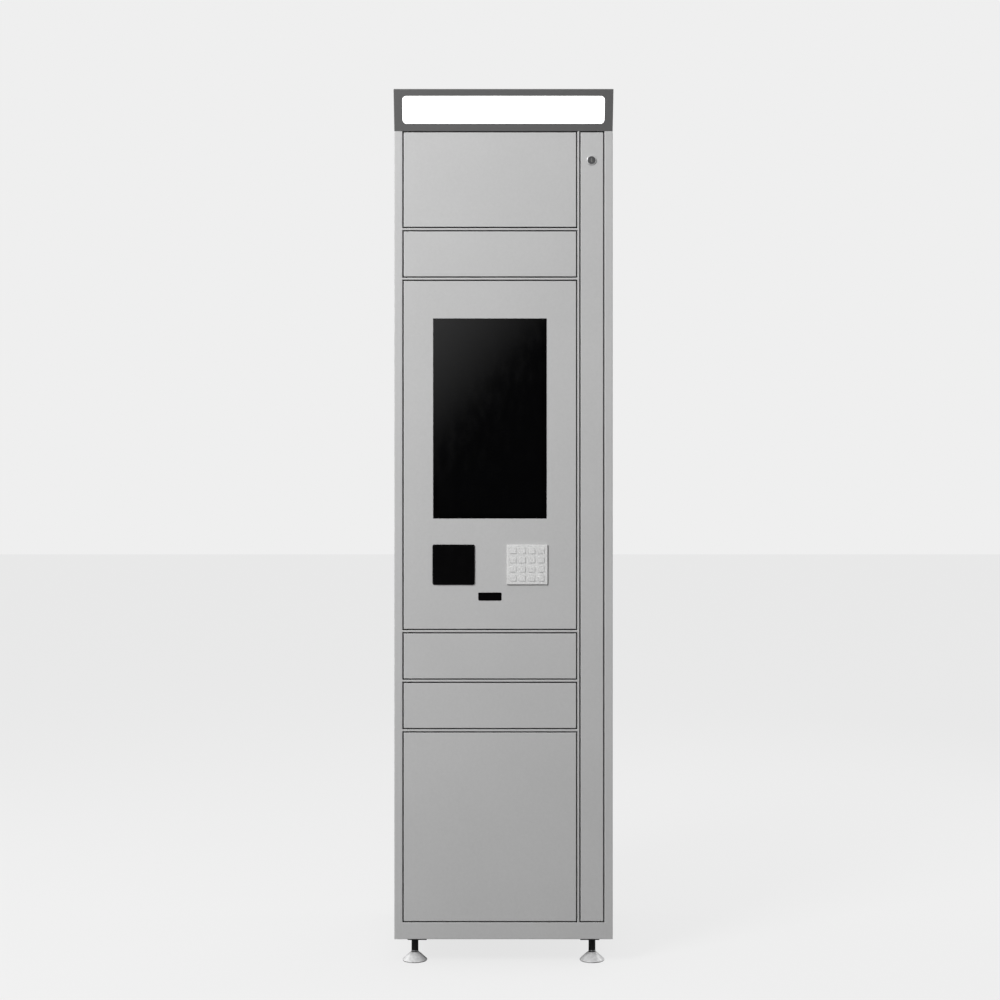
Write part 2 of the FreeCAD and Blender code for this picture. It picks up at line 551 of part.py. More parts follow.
def cam_lock_barrel():
    """Fixed part of the service lock: face flange, body through the door and its ring nut."""
    face = soften(rod(11.0, V(CAM_X, FRONT - 2, CAM_Z), V(CAM_X, FRONT, CAM_Z)), 0.7,
                  lambda e: abs(e.Vertexes[0].Point.y - FRONT + 2) < 1e-4)
    body = rod(BARREL_R, V(CAM_X, FRONT, CAM_Z), V(CAM_X, FRONT + 21, CAM_Z))
    bore = rod(PLUG_R + 0.05, V(CAM_X, FRONT - 5, CAM_Z), V(CAM_X, FRONT + 30, CAM_Z))
    ring = cut(rod(13.0, V(CAM_X, FRONT + SHEET, CAM_Z), V(CAM_X, FRONT + SHEET + 4, CAM_Z)),
               rod(BARREL_R, V(CAM_X, FRONT, CAM_Z), V(CAM_X, FRONT + 10, CAM_Z)))
    return [cut(fuse(face, body), bore), ring]


def cam_lock_plug():
    """Turning part of the service lock: plug with key slot, cam lever hanging down, and screw."""
    plug = rod(PLUG_R, V(CAM_X, FRONT - 2.4, CAM_Z), V(CAM_X, FRONT + 21.5, CAM_Z))
    plug = soften(plug, 0.5, lambda e: abs(e.Vertexes[0].Point.y - FRONT + 2.4) < 1e-4)
    key_slot = box(CAM_X - 1.2, CAM_X + 1.2, FRONT - 3, FRONT + 6, CAM_Z - 4.5, CAM_Z + 4.5)
    y0, y1 = FRONT + 21.5, FRONT + 23.5
    lever = prism("XZ", [(CAM_X - 7, CAM_Z + 7), (CAM_X - 7, CAM_Z - CAM_LENGTH),
                         (CAM_X + 7, CAM_Z - CAM_LENGTH), (CAM_X + 7, CAM_Z + 7)],
                  y0, y1, [6.5, 3.0, 3.0, 6.5])
    screw = rod(4.0, V(CAM_X, y1, CAM_Z), V(CAM_X, y1 + 2.5, CAM_Z))
    return [cut(plug, key_slot), lever, screw]


# ---------------------------------------------------------------- what the kiosk door carries
def display_glass():
    sheet = centred_plate(DOOR_MID_X, DISPLAY_Z, DISPLAY_W, DISPLAY_H, FRONT + 0.2, FRONT + 4.2, 0.8)
    return soften(sheet, 0.3, lambda e: on_front_face(e, FRONT + 0.2))


def display_module():
    """Mounting frame behind the door's sheet, and the panel's metal case with its vents."""
    y0, y1 = FRONT + 4.2, FRONT + 44.0
    ring = cut(centred_plate(DOOR_MID_X, DISPLAY_Z, 292, 491, FRONT + SHEET, y0, 3.0),
               centred_plate(DOOR_MID_X, DISPLAY_Z, DISPLAY_W + 1.2, DISPLAY_H + 1.2,
                             FRONT, y0 + 1, 1.0))
    case = centred_plate(DOOR_MID_X, DISPLAY_Z, 276, 476, y0, y1, 4.0)
    case = soften(case, 2.0, lambda e: on_front_face(e, y1))
    slots = [centred_plate(DOOR_MID_X + dx, DISPLAY_Z + dz, 60, 4, y1 - 2, y1 + 1, 1.9)
             for dx in (-80, 0, 80) for dz in (-190, -178, -166, -154, 154, 166, 178, 190)]
    bosses = [rod(3.0, V(DOOR_MID_X + dx, y1 - 8, DISPLAY_Z + dz), V(DOOR_MID_X + dx, y1 + 1,
                                                                    DISPLAY_Z + dz))
              for dx in (-50, 50) for dz in (-50, 50)]
    return [ring, cut(case, *slots, *bosses)]


def card_reader():
    """Contactless reader: a black face standing proud of the door, and its case behind."""
    x, z = READER_X, PANEL_ROW_Z
    face = centred_plate(x, z, READER_W, READER_H, FRONT - 3.0, FRONT, 4.0)
    face = soften(face, 1.2, lambda e: on_front_face(e, FRONT - 3.0))
    case = fuse(centred_plate(x, z, READER_W - 15, READER_H - 15, FRONT, FRONT + 22, 3.0),
                centred_plate(x, z, READER_W, READER_H, FRONT + SHEET, FRONT + SHEET + 2, 4.0))
    return [face, case]


def barcode_scanner():
    """Scanner window set flush in the door, and the scan engine behind it."""
    x, z = DOOR_MID_X, SCANNER_Z
    window = centred_plate(x, z, SCANNER_W, SCANNER_H, FRONT + 0.3, FRONT + 3.0, 2.4)
    engine = fuse(centred_plate(x, z, 74, 30, FRONT + 3.0, FRONT + 5.0, 3.0),
                  centred_plate(x, z, 50, 26, FRONT + 5.0, FRONT + 42.0, 2.0))
    return [window, engine]


def key_centres():
    """{key name: (x, z)}, row by row from the top left."""
    x0 = KEYPAD_X - 1.5 * KEY_PITCH_X
    z0 = PANEL_ROW_Z + 1.5 * KEY_PITCH_Z
    return {name: (x0 + i % 4 * KEY_PITCH_X, z0 - i // 4 * KEY_PITCH_Z)
            for i, name in enumerate(KEY_NAMES)}


def keypad_plate():
    """Metal plate with a chamfered edge, a window for each key and a pocket for their flanges."""
    x, z = KEYPAD_X, PANEL_ROW_Z
    body = centred_plate(x, z, KEYPAD_W, KEYPAD_H, FRONT - KEYPAD_PROUD, FRONT, 1.5)
    body = body.makeChamfer(1.2, [e for e in body.Edges if on_front_face(e, FRONT - KEYPAD_PROUD)])
    pocket = centred_plate(x, z, KEYPAD_W - 8, KEYPAD_H - 8, FRONT - KEYPAD_PROUD + KEYPAD_SKIN,
                           FRONT + 1, 2.0)
    windows = [centred_plate(kx, kz, KEY_W + 2 * KEY_CLEARANCE, KEY_H + 2 * KEY_CLEARANCE,
                             FRONT - KEYPAD_PROUD - 1, FRONT + 1, KEY_R + KEY_CLEARANCE)
               for kx, kz in key_centres().values()]
    return cut(body, pocket, *windows)


def keypad_key(x, z):
    """One key: a softened cap through its window, and the flange that keeps it in."""
    y0 = FRONT - KEYPAD_PROUD - KEY_PROUD
    seat = FRONT - KEYPAD_PROUD + KEYPAD_SKIN
    cap = centred_plate(x, z, KEY_W, KEY_H, y0, seat + 0.2, KEY_R)
    cap = soften(cap, 0.6, lambda e: on_front_face(e, y0))
    flange = centred_plate(x, z, KEY_W + 3.5, KEY_H + 3.5, seat + 0.05, seat + 0.95, KEY_R + 1)
    return fuse(cap, flange)


def keypad_base():
    """Switch board case behind the keys, through the door's cut-out and flanged behind it."""
    x, z = KEYPAD_X, PANEL_ROW_Z
    return fuse(centred_plate(x, z, KEYPAD_W - 10, KEYPAD_H - 10, FRONT + 0.2, FRONT + 16, 2.5),
                centred_plate(x, z, KEYPAD_W + 6, KEYPAD_H + 6, FRONT + SHEET, FRONT + SHEET + 2, 3.0))


# ---------------------------------------------------------------- hood and sign
def on_slope(shape):
    """Moves a shape drawn on the hood's face, where y is depth in and z the way up the slope."""
    shape.rotate(V(0, 0, 0), X, LEAN_ANGLE)
    shape.translate(V(0, FRONT, ROOF_Z))
    return shape


def slope_plate(width, v0, v1, y0, y1, radius):
    return plate(-width / 2, width / 2, v0, v1, y0, y1, radius)


def hood_shell():
    """Folded cap: leaning face with the sign window, roof falling to the rear, open below."""
    rear_z = TOTAL_HEIGHT - HOOD_REAR_DROP
    outer = [(FRONT, ROOF_Z), (BACK_FACE, ROOF_Z), (BACK_FACE, rear_z),
             (FRONT - HOOD_LEAN, TOTAL_HEIGHT)]
    lean = math.radians(LEAN_ANGLE)
    fall = math.atan2(HOOD_REAR_DROP, BACK_FACE - FRONT + HOOD_LEAN)
    across = SHEET / math.cos(lean)
    under = SHEET / math.cos(fall)
    inner_top_y = FRONT - HOOD_LEAN + across + under * math.tan(lean)
    inner = [(FRONT + across, ROOF_Z), (FRONT + across + 1 * math.tan(lean), ROOF_Z - 1),
             (BACK_FACE - SHEET, ROOF_Z - 1), (BACK_FACE - SHEET, rear_z - under),
             (inner_top_y, TOTAL_HEIGHT - under)]
    shell = prism("YZ", outer, -HALF, HALF, [0, 0, 2.0, 2.0])
    shell = soften(shell, 1.3, lambda e: e.Length > 60 and e.Length < 620
                   and abs(e.Vertexes[0].Point.x - e.Vertexes[-1].Point.x) < 1e-4
                   and e.BoundBox.ZMax > ROOF_Z + 1)
    hollow = prism("YZ", inner, -HALF + SHEET, HALF - SHEET)
    window = on_slope(slope_plate(SIGN_W, SIGN_MARGIN, SIGN_MARGIN + SIGN_H, -2, 4, SIGN_R))
    return cut(shell, hollow, window, *screw_holes(HOOD_SCREWS, BACK_FACE - 3, BACK))


def sign_diffuser():
    """Opal panel: flush in the window, with a flange clamped behind the hood's face."""
    flush = slope_plate(SIGN_W - 0.6, SIGN_MARGIN + 0.3, SIGN_MARGIN + SIGN_H - 0.3,
                        0.1, SHEET + 1, SIGN_R - 0.3)
    flange = slope_plate(SIGN_W + 16, SIGN_MARGIN - 7, SIGN_MARGIN + SIGN_H + 6,
                         SHEET + 0.05, SHEET + 3, 4.0)
    return on_slope(fuse(flush, flange))


def sign_light():
    """Light tray behind the sign with two LED strips, and their driver on the roof panel."""
    y0, y1, v0, v1 = SHEET + 3.05, 25.0, SIGN_MARGIN - 5, SIGN_MARGIN + SIGN_H + 1
    tray = cut(box(-232, 232, y0, y1, v0, v1),
               box(-230.8, 230.8, y0 - 1, y1 - THIN_SHEET, v0 + THIN_SHEET, v1 - THIN_SHEET))
    strips = [box(-220, 220, y1 - THIN_SHEET - 1.6, y1 - THIN_SHEET, v - 6, v + 6)
              for v in (v0 + 20, v1 - 20)]
    driver = box(-75, 75, FRONT + 120, FRONT + 162, ROOF_Z + SHEET, ROOF_Z + SHEET + 30)
    driver = soften(driver, 1.5, lambda e: e.BoundBox.ZMin > ROOF_Z + SHEET + 29)
    return [on_slope(s) for s in [tray] + strips] + [driver]


# ---------------------------------------------------------------- equipment in the kiosk bay
def equipment_plate():
    """Plate on folded feet inside the kiosk bay's back."""
    x0, x1, z0, z1 = PLATE
    t, rear = SHEET, BACK_INNER
    path = [(x0 - 14, rear - t / 2), (x0, rear - t / 2), (x0, PLATE_Y + t / 2),
            (x1, PLATE_Y + t / 2), (x1, rear - t / 2), (x1 + 14, rear - t / 2)]
    return folded("XY", path, z0, z1, t, bend=1.0)


def computer():
    """Fanless computer: a closed case with cooling fins towards the door."""
    x0, x1, z0, z1 = COMPUTER
    case = box(x0, x1, PLATE_Y - 38, PLATE_Y, z0, z1)
    case = soften(case, 2.0, lambda e: abs(e.Vertexes[0].Point.y - e.Vertexes[1].Point.y) > 10)
    count, fin_t = 17, 3.0
    pitch = (x1 - x0 - 20) / (count - 1)
    fins = [box(x0 + 10 + i * pitch - fin_t / 2, x0 + 10 + i * pitch + fin_t / 2,
                PLATE_Y - 58, PLATE_Y - 37, z0 + 4, z1 - 4) for i in range(count)]
    ports = [box(x0 + 22 + i * 26, x0 + 40 + i * 26, PLATE_Y - 30, PLATE_Y - 12, z0 - 3, z0 + 1)
             for i in range(7)]
    return fuse(case, *fins, *ports)


def power_supply():
    """Open-frame style supply: folded case, slotted cover and a terminal block at its foot."""
    x0, x1, z0, z1 = SUPPLY
    case = box(x0, x1, PLATE_Y - 50, PLATE_Y, z0, z1)
    slots = [centred_plate((x0 + x1) / 2 + dx, z, 40, 4, PLATE_Y - 51, PLATE_Y - 46, 1.9)
             for dx in (-25, 25) for z in [z0 + 50 + 11 * i for i in range(13)]]
    ledge = box(x0 + 4, x1 - 4, PLATE_Y - 51, PLATE_Y - 22, z0 - 1, z0 + 24)
    block = box(x0 + 8, x1 - 8, PLATE_Y - 40, PLATE_Y - 22, z0 + 2, z0 + 20)
    return [cut(case, ledge, *slots), block]


def lock_controller():
    """Board on four stand-offs, with relays, a processor and a row of lock connectors."""
    x0, x1, z0, z1 = CONTROLLER
    board_y = PLATE_Y - 12.0
    board = box(x0, x1, board_y - 1.6, board_y, z0, z1)
    corners = [(x, z) for x in (x0 + 6, x1 - 6) for z in (z0 + 6, z1 - 6)]
    posts = [rod(3.0, V(x, board_y, z), V(x, PLATE_Y, z)) for x, z in corners]
    heads = [rod(3.2, V(x, board_y - 3.6, z), V(x, board_y - 1.6, z)) for x, z in corners]
    relays = [box(x0 + 12 + 34 * c, x0 + 31 + 34 * c, board_y - 17.6, board_y - 1.6,
                  z0 + 60 + 34 * r, z0 + 84 + 34 * r) for c in range(2) for r in range(3)]
    plugs = [box(x1 - 16, x1 - 4, board_y - 12.6, board_y - 1.6, z0 + 26 + 26 * i, z0 + 44 + 26 * i)
             for i in range(6)]
    chip = box(x0 + 22, x0 + 48, board_y - 3.6, board_y - 1.6, z0 + 20, z0 + 46)
    return [board, *posts, *heads, *relays, *plugs, chip]


# ---------------------------------------------------------------- cables held in the channel
def tube(points, radius, bend):
    """A cable of straight runs joined by tangent arcs."""
    edges, here = [], points[0]
    for before, corner, after in zip(points, points[1:], points[2:]):
        a, b = (corner - before).normalize(), (after - corner).normalize()
        turn = a.getAngle(b)
        reach = bend * math.tan(turn / 2)
        inward = (b - a).normalize()
        centre = corner + inward * (bend / math.cos(turn / 2))
        start, end = corner - a * reach, corner + b * reach
        edges.append(Part.LineSegment(here, start).toShape())
        edges.append(Part.Arc(start, centre - inward * bend, end).toShape())
        here = end
    edges.append(Part.LineSegment(here, points[-1]).toShape())
    path = Part.Wire(edges)
    circle = Part.Wire(Part.makeCircle(radius, points[0], (points[1] - points[0]).normalize()))
    return path.makePipeShell([circle], True, True)


def wiring_loom():
    """Trunk up the service channel, a branch to each lock, and one through the partition."""
    heights = lock_heights()
    low, high = heights[0] - 30.0, heights[-1] + 18.0
    pieces = [rod(TRUNK_R, V(TRUNK_X, TRUNK_Y, low), V(TRUNK_X, TRUNK_Y, high))]
    for z in heights:
        pieces.append(tube([V(TRUNK_X, TRUNK_Y, z - 20), V(TRUNK_X, TRUNK_Y - 22, z),
                            V(TRUNK_X, STRIP_Y + 70.0, z)], BRANCH_R, 14.0))
    board_x = CONTROLLER[1] - 10
    pieces.append(tube([V(TRUNK_X, TRUNK_Y, LOOM_PASS_Z - 60), V(TRUNK_X, LOOM_PASS_Y, LOOM_PASS_Z),
                        V(board_x + 25, LOOM_PASS_Y, LOOM_PASS_Z),
                        V(board_x, PLATE_Y - 32, LOOM_PASS_Z - 20),
                        V(board_x, PLATE_Y - 32, CONTROLLER[2] + 160)], FEED_R, 16.0))
    return fuse(*pieces)


def cable_gland():
    """Threaded gland through the floor: body with flange, nut under the floor, dome on top."""
    at = V(GLAND_X, GLAND_Y, FLOOR_Z)
    body = fuse(rod(GLAND_R, at - Z * 12, at + Z * 6), hexagon(at, GLAND_AF, 6.0),
                hexagon(at + Z * 6, GLAND_DOME_AF, 14.0))
    nut = cut(hexagon(at - Z * (SHEET + 6), GLAND_AF, 6.0), rod(GLAND_R, at - Z * 20, at + Z))
    bore = rod(GLAND_BORE_R, at - Z * 20, at + Z * 30)
    return [cut(body, bore), nut]


# ---------------------------------------------------------------- build every node
def build():
    os.makedirs("parts", exist_ok=True)
    save("left_side_panel", side_panel(-1))
    save("right_side_panel", side_panel(1))
    save("back_panel", back_panel())
    save("roof_panel", roof_panel())
    save("floor_pan", floor_pan())
    save("lock_post", lock_post())
    save("partition_wall", partition_wall())
    save("shelves", *[shelf(z) for z in SHELF_Z])
    save("base_rails", *base_rails())
    save("levelling_studs", *[foot_stud(p) for p in foot_places()],
         *[lock_nut(p) for p in foot_places()])
    save("levelling_feet", *[foot_pad(p) for p in foot_places()],
         *[foot_sole(p) for p in foot_places()])
    save("hinge_pins", *hinge_pins())
    save("panel_screws", *[pan_screw(x, BACK_FACE, z) for x, z in BACK_SCREWS + HOOD_SCREWS])
    save("lock_housings", *[lock_housing(z) for z in lock_heights()])
    save("hood_shell", hood_shell())
    save("sign_diffuser", sign_diffuser())
    save("sign_light", *sign_light())
    save("equipment_plate", equipment_plate())
    save("computer", computer())
    save("power_supply", *power_supply())
    save("lock_controller", *lock_controller())
    save("wiring_loom", wiring_loom())
    save("cable_gland", *cable_gland())
    for name in SPANS:
        save(f"{name}_claw", claw(name))
        save(f"{name}_door", *(kiosk_door() if name == "kiosk" else compartment_door(name)))
    save("display_glass", display_glass())
    save("display_module", *display_module())
    save("card_reader", *card_reader())
    save("barcode_scanner", *barcode_scanner())
    save("keypad_plate", keypad_plate())
    save("keypad_base", keypad_base())
    for name, (x, z) in key_centres().items():
        save(f"key_{name}", keypad_key(x, z))
    save("service_door", *service_door())
    save("cam_lock_barrel", *cam_lock_barrel())
    save("cam_lock_plug", *cam_lock_plug())


build()
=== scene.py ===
"""The parcel locker's looks: finishes for every CAD node, and the fine pieces that ride on its bodies."""
import json
import math

import bmesh
import bpy
from mathutils import Matrix, Vector


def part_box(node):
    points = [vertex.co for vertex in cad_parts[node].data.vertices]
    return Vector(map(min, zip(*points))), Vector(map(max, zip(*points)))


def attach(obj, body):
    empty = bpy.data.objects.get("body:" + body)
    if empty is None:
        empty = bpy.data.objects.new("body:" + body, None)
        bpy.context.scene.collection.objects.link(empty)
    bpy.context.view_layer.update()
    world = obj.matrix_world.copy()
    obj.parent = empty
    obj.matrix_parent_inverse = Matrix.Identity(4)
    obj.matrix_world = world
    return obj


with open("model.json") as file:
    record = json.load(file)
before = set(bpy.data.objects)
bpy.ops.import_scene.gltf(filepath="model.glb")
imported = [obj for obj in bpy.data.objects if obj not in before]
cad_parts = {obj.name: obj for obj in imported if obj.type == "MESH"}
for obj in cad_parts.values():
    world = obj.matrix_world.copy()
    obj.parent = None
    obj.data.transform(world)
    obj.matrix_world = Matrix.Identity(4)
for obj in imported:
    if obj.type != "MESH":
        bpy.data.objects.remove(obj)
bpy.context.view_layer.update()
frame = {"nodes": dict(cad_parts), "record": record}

MM = 0.001

# ---------------------------------------------------------------- names and places read from the frame
NODES = frame["nodes"]
DOORS = ["compartment_1", "compartment_2", "kiosk", "compartment_3", "compartment_4", "compartment_5"]
KEYS = ["1", "2", "3", "cancel", "4", "5", "6", "clear", "7", "8", "9", "enter", "star", "0", "hash", "help"]
FRONT_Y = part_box("kiosk_door")[0].y


# ---------------------------------------------------------------- shader building
class Shader:
    """One Principled material whose nodes are added step by step. Coordinates are the frame's metres."""

    def __init__(self, name, color, roughness, metallic=0.0, specular=0.5):
        self.material = bpy.data.materials.new(name)
        self.material.use_nodes = True
        self.material.diffuse_color = (*color, 1.0)
        self.tree = self.material.node_tree
        self.surface = self.tree.nodes["Principled BSDF"]
        self.set("Base Color", (*color, 1.0))
        self.set("Roughness", roughness)
        self.set("Metallic", metallic)
        self.set("Specular IOR Level", specular)
        self.position = self.add("ShaderNodeTexCoord").outputs["Object"]

    def add(self, kind, **properties):
        node = self.tree.nodes.new(kind)
        for key, value in properties.items():
            setattr(node, key, value)
        return node

    def link(self, source, target):
        self.tree.links.new(source, target)

    def set(self, socket, value):
        self.surface.inputs[socket].default_value = value

    def drive(self, socket, source):
        self.link(source, self.surface.inputs[socket])

    def math(self, operation, a, b=0.0, clamp=False):
        """One step of arithmetic on two numbers or sockets."""
        node = self.add("ShaderNodeMath", operation=operation, use_clamp=clamp)
        for socket, value in zip(node.inputs, (a, b)):
            if isinstance(value, (int, float)):
                socket.default_value = value
            else:
                self.link(value, socket)
        return node.outputs[0]

    def stretched(self, scale):
        """Coordinates stretched by a scale along each axis, for brushed or drawn surfaces."""
        node = self.add("ShaderNodeMapping")
        node.inputs["Scale"].default_value = scale
        self.link(self.position, node.inputs["Vector"])
        return node.outputs[0]

    def noise(self, size, detail=2.0, roughness=0.5, at=None):
        """Noise from 0 to 1 whose features are about that many metres across."""
        node = self.add("ShaderNodeTexNoise")
        node.inputs["Scale"].default_value = 1.0 / size
        node.inputs["Detail"].default_value = detail
        node.inputs["Roughness"].default_value = roughness
        self.link(at or self.position, node.inputs["Vector"])
        return node.outputs["Fac"]

    def cells(self, size, output="Color", randomness=1.0):
        """Voronoi cells about that many metres across: each one's colour, or the distance from its middle."""
        node = self.add("ShaderNodeTexVoronoi")
        node.inputs["Scale"].default_value = 1.0 / size
        node.inputs["Randomness"].default_value = randomness
        self.link(self.position, node.inputs["Vector"])
        return node.outputs[output]

    def spread(self, source, low, high, from_low=0.0, from_high=1.0):
        """Maps a value's range to another, clamped."""
        node = self.add("ShaderNodeMapRange")
        for socket, value in zip(("From Min", "From Max", "To Min", "To Max"),
                                 (from_low, from_high, low, high)):
            node.inputs[socket].default_value = value
        self.link(source, node.inputs["Value"])
        return node.outputs["Result"]

    def mix(self, factor, a, b):
        """A colour between two colours or colour sockets."""
        node = self.add("ShaderNodeMix", data_type="RGBA")
        for socket, value in ((node.inputs[0], factor), (node.inputs[6], a), (node.inputs[7], b)):
            if isinstance(value, (int, float)):
                socket.default_value = value
            elif isinstance(value, tuple):
                socket.default_value = (*value, 1.0)
            else:
                self.link(value, socket)
        return node.outputs[2]

    def bump(self, height, strength, distance, rounding=None):
        """Bump from a height socket, on normals that are rounded at sharp edges."""
        node = self.add("ShaderNodeBump")
        node.inputs["Strength"].default_value = strength
        node.inputs["Distance"].default_value = distance
        self.link(height, node.inputs["Height"])
        if rounding:
            self.link(self.rounded(rounding), node.inputs["Normal"])
        self.drive("Normal", node.outputs["Normal"])

    def rounded(self, radius):
        """Normals bent round sharp edges, as if they had that radius."""
        node = self.add("ShaderNodeBevel", samples=4)
        node.inputs["Radius"].default_value = radius
        return node.outputs["Normal"]

    def edges(self, radius):
        """1 along convex edges and corners, falling to 0 within the radius."""
        plain = self.add("ShaderNodeNewGeometry").outputs["Normal"]
        node = self.add("ShaderNodeVectorMath", operation="DOT_PRODUCT")
        self.link(self.rounded(radius), node.inputs[0])
        self.link(plain, node.inputs[1])
        return self.spread(node.outputs["Value"], 1.0, 0.0, 0.86, 0.995)

    def painted_gap_shade(self, reach):
        """1 deep in gaps and inner corners tighter than the reach, and 0 in the open: the mask for painted
        shade.
        """
        node = self.add("ShaderNodeAmbientOcclusion", samples=6)
        node.inputs["Distance"].default_value = reach
        return self.spread(node.outputs["AO"], 1.0, 0.0, 0.25, 0.60)


def powder_coat(name, color, wear, roughness=0.5):
    """Textured powder coat: orange peel, a faint mottle, a paler worn line along the edges, and painted shade
    darkening its gaps and inner corners.
    """
    grain = 0.9 * MM
    s = Shader(name, color, roughness, specular=0.42)
    dark = tuple(c * 0.955 for c in color)
    light = tuple(min(c * 1.035, 1.0) for c in color)
    tone = s.math("ADD", s.math("MULTIPLY", s.noise(6 * MM, 4.0, 0.62), 0.55),
                  s.math("MULTIPLY", s.noise(0.25, 3.0), 0.45))
    body = s.mix(s.spread(tone, 0.0, 1.0, 0.3, 0.7), dark, light)
    rubbed = s.math("MULTIPLY", s.edges(0.9 * MM), s.spread(s.noise(22 * MM, 5.0), 0.0, 1.0, 0.45, 0.66))
    worn = s.mix(s.math("MULTIPLY", rubbed, 0.5), body, wear)
    # painted shade: gaps and inner corners darkened nearly to black
    s.drive("Base Color", s.mix(s.painted_gap_shade(16 * MM), worn, tuple(c * 0.05 for c in color)))
    s.drive("Roughness", s.spread(s.noise(1.6 * MM, 3.0), roughness - 0.07, roughness + 0.09, 0.3, 0.7))
    peel = s.math("ADD", s.noise(grain, 2.0, 0.55), s.math("MULTIPLY", s.noise(grain * 4.5, 2.0), 0.8))
    s.bump(peel, 0.30, 0.12 * MM, rounding=0.35 * MM)
    return s.material


def galvanised(name, color):
    """Hot-dipped sheet: spangles a few millimetres across, each its own tone, and white bloom."""
    s = Shader(name, color, 0.42, metallic=0.85)
    flake = s.cells(7 * MM)
    tone = s.spread(flake, 0.0, 1.0, 0.1, 0.9)
    dull = tuple(c * 0.72 for c in color)
    bloom = s.spread(s.noise(60 * MM, 5.0), 0.0, 0.35, 0.52, 0.7)
    s.drive("Base Color", s.mix(bloom, s.mix(tone, dull, color), (0.72, 0.73, 0.73)))
    s.drive("Roughness", s.spread(flake, 0.30, 0.56))
    s.bump(s.noise(1.1 * MM, 3.0), 0.12, 0.08 * MM, rounding=0.3 * MM)
    return s.material


def blasted_metal(name, color, roughness, mottle, grain, metallic=1.0, rub_and_highlight=0.55, bright=0.86):
    """Bead-blasted steel: a sparkle of tiny dimples, and edges lightened: rubbed bright by wear, and on the
    keys a painted highlight.
    """
    s = Shader(name, color, roughness, metallic=metallic)
    dark = tuple(c * (1 - mottle) for c in color)
    light = tuple(min(1.0, c * (1 + mottle * 0.7)) for c in color)
    speck = s.math("ADD", s.math("MULTIPLY", s.noise(grain * 5.0, 3.0, 0.8), 0.85),
                   s.math("MULTIPLY", s.noise(9 * MM, 3.0), 0.15))
    # edges lightened: wear, and where set to full, as on the keys, a painted highlight
    worn = s.math("MULTIPLY", s.edges(0.7 * MM), rub_and_highlight)
    s.drive("Base Color", s.mix(worn, s.mix(s.spread(speck, 0.0, 1.0, 0.35, 0.65), dark, light),
                                (bright, bright, bright)))
    s.drive("Roughness", s.spread(s.noise(grain * 2, 2.0), roughness - 0.08, roughness + 0.12, 0.3, 0.7))
    s.bump(s.noise(grain, 2.0, 0.6), 0.45, 0.09 * MM, rounding=0.3 * MM)
    return s.material


def plated_metal(name, color, roughness=0.24, metallic=1.0):
    """Plated steel with turning marks round it, and slight dulling."""
    s = Shader(name, color, roughness, metallic=metallic)
    marks = s.noise(0.9 * MM, 3.0, 0.6, at=s.stretched((1.0, 1.0, 14.0)))
    cloud = s.noise(7 * MM, 4.0)
    s.drive("Base Color", s.mix(s.spread(cloud, 0.0, 1.0, 0.4, 0.68), color,
                                tuple(c * 0.8 for c in color)))
    s.drive("Roughness", s.spread(cloud, roughness - 0.06, roughness + 0.16, 0.3, 0.75))
    s.bump(marks, 0.10, 0.05 * MM, rounding=0.25 * MM)
    return s.material


def moulded(name, color, roughness=0.55, grain=0.35 * MM, strength=0.2):
    """Moulded plastic or rubber: fine spark-eroded grain, soft scuffs, and paler worn edges."""
    s = Shader(name, color, roughness, specular=0.45)
    scuff = s.spread(s.noise(14 * MM, 6.0, 0.7), 0.0, 1.0, 0.52, 0.72)
    pale = tuple(min(1.0, c * 1.25 + 0.012) for c in color)
    edge = s.math("MULTIPLY", s.edges(0.6 * MM), 0.45)
    s.drive("Base Color", s.mix(edge, s.mix(s.math("MULTIPLY", scuff, 0.35), color, pale), pale))
    s.drive("Roughness", s.spread(scuff, roughness, min(0.95, roughness + 0.16)))
    s.bump(s.noise(grain, 2.0, 0.6), strength, 0.06 * MM, rounding=0.3 * MM)
    return s.material


def gloss_black(name, color, roughness, specular):
    """Polished black glass or acrylic with a trace of wiping smears and settled dust, as a Shader."""
    s = Shader(name, color, roughness, specular=specular)
    smears = s.noise(16 * MM, 5.0, 0.62, at=s.stretched((1.0, 1.0, 0.35)))
    s.drive("Roughness", s.spread(smears, roughness, roughness + 0.05, 0.42, 0.75))
    dust = s.math("MULTIPLY", s.spread(s.noise(0.55 * MM, 1.0), 0.0, 1.0, 0.70, 0.80),
                  s.spread(s.noise(40 * MM, 3.0), 0.0, 0.06, 0.45, 0.8))
    s.drive("Base Color", s.mix(dust, color, (0.09, 0.09, 0.092)))
    s.bump(s.noise(45 * MM, 2.0), 0.02, 0.05 * MM, rounding=0.25 * MM)
    return s


def display_surface():
    """The display's glass: black print round the edge, and the unlit panel a shade off it within."""
    print_border, print_edge = 11.0 * MM, 0.4 * MM
    s = gloss_black("display glass", (0.0012, 0.0012, 0.0013), 0.05, 0.22)
    low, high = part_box("display_glass")
    where = s.add("ShaderNodeSeparateXYZ")
    s.link(s.position, where.inputs[0])
    inside = 1.0
    for axis, a, b in (("X", low.x, high.x), ("Z", low.z, high.z)):
        for edge, sign in ((a + print_border, 1.0), (b - print_border, -1.0)):
            past_edge = s.math("SUBTRACT", where.outputs[axis], edge)
            step = s.math("MULTIPLY", past_edge, sign / print_edge, clamp=True)
            inside = step if inside == 1.0 else s.math("MULTIPLY", inside, step)
    dusty = s.surface.inputs["Base Color"].links[0].from_socket
    s.drive("Base Color", s.mix(s.math("MULTIPLY", inside, 0.5), dusty, (0.0020, 0.0021, 0.0024)))
    return s.material


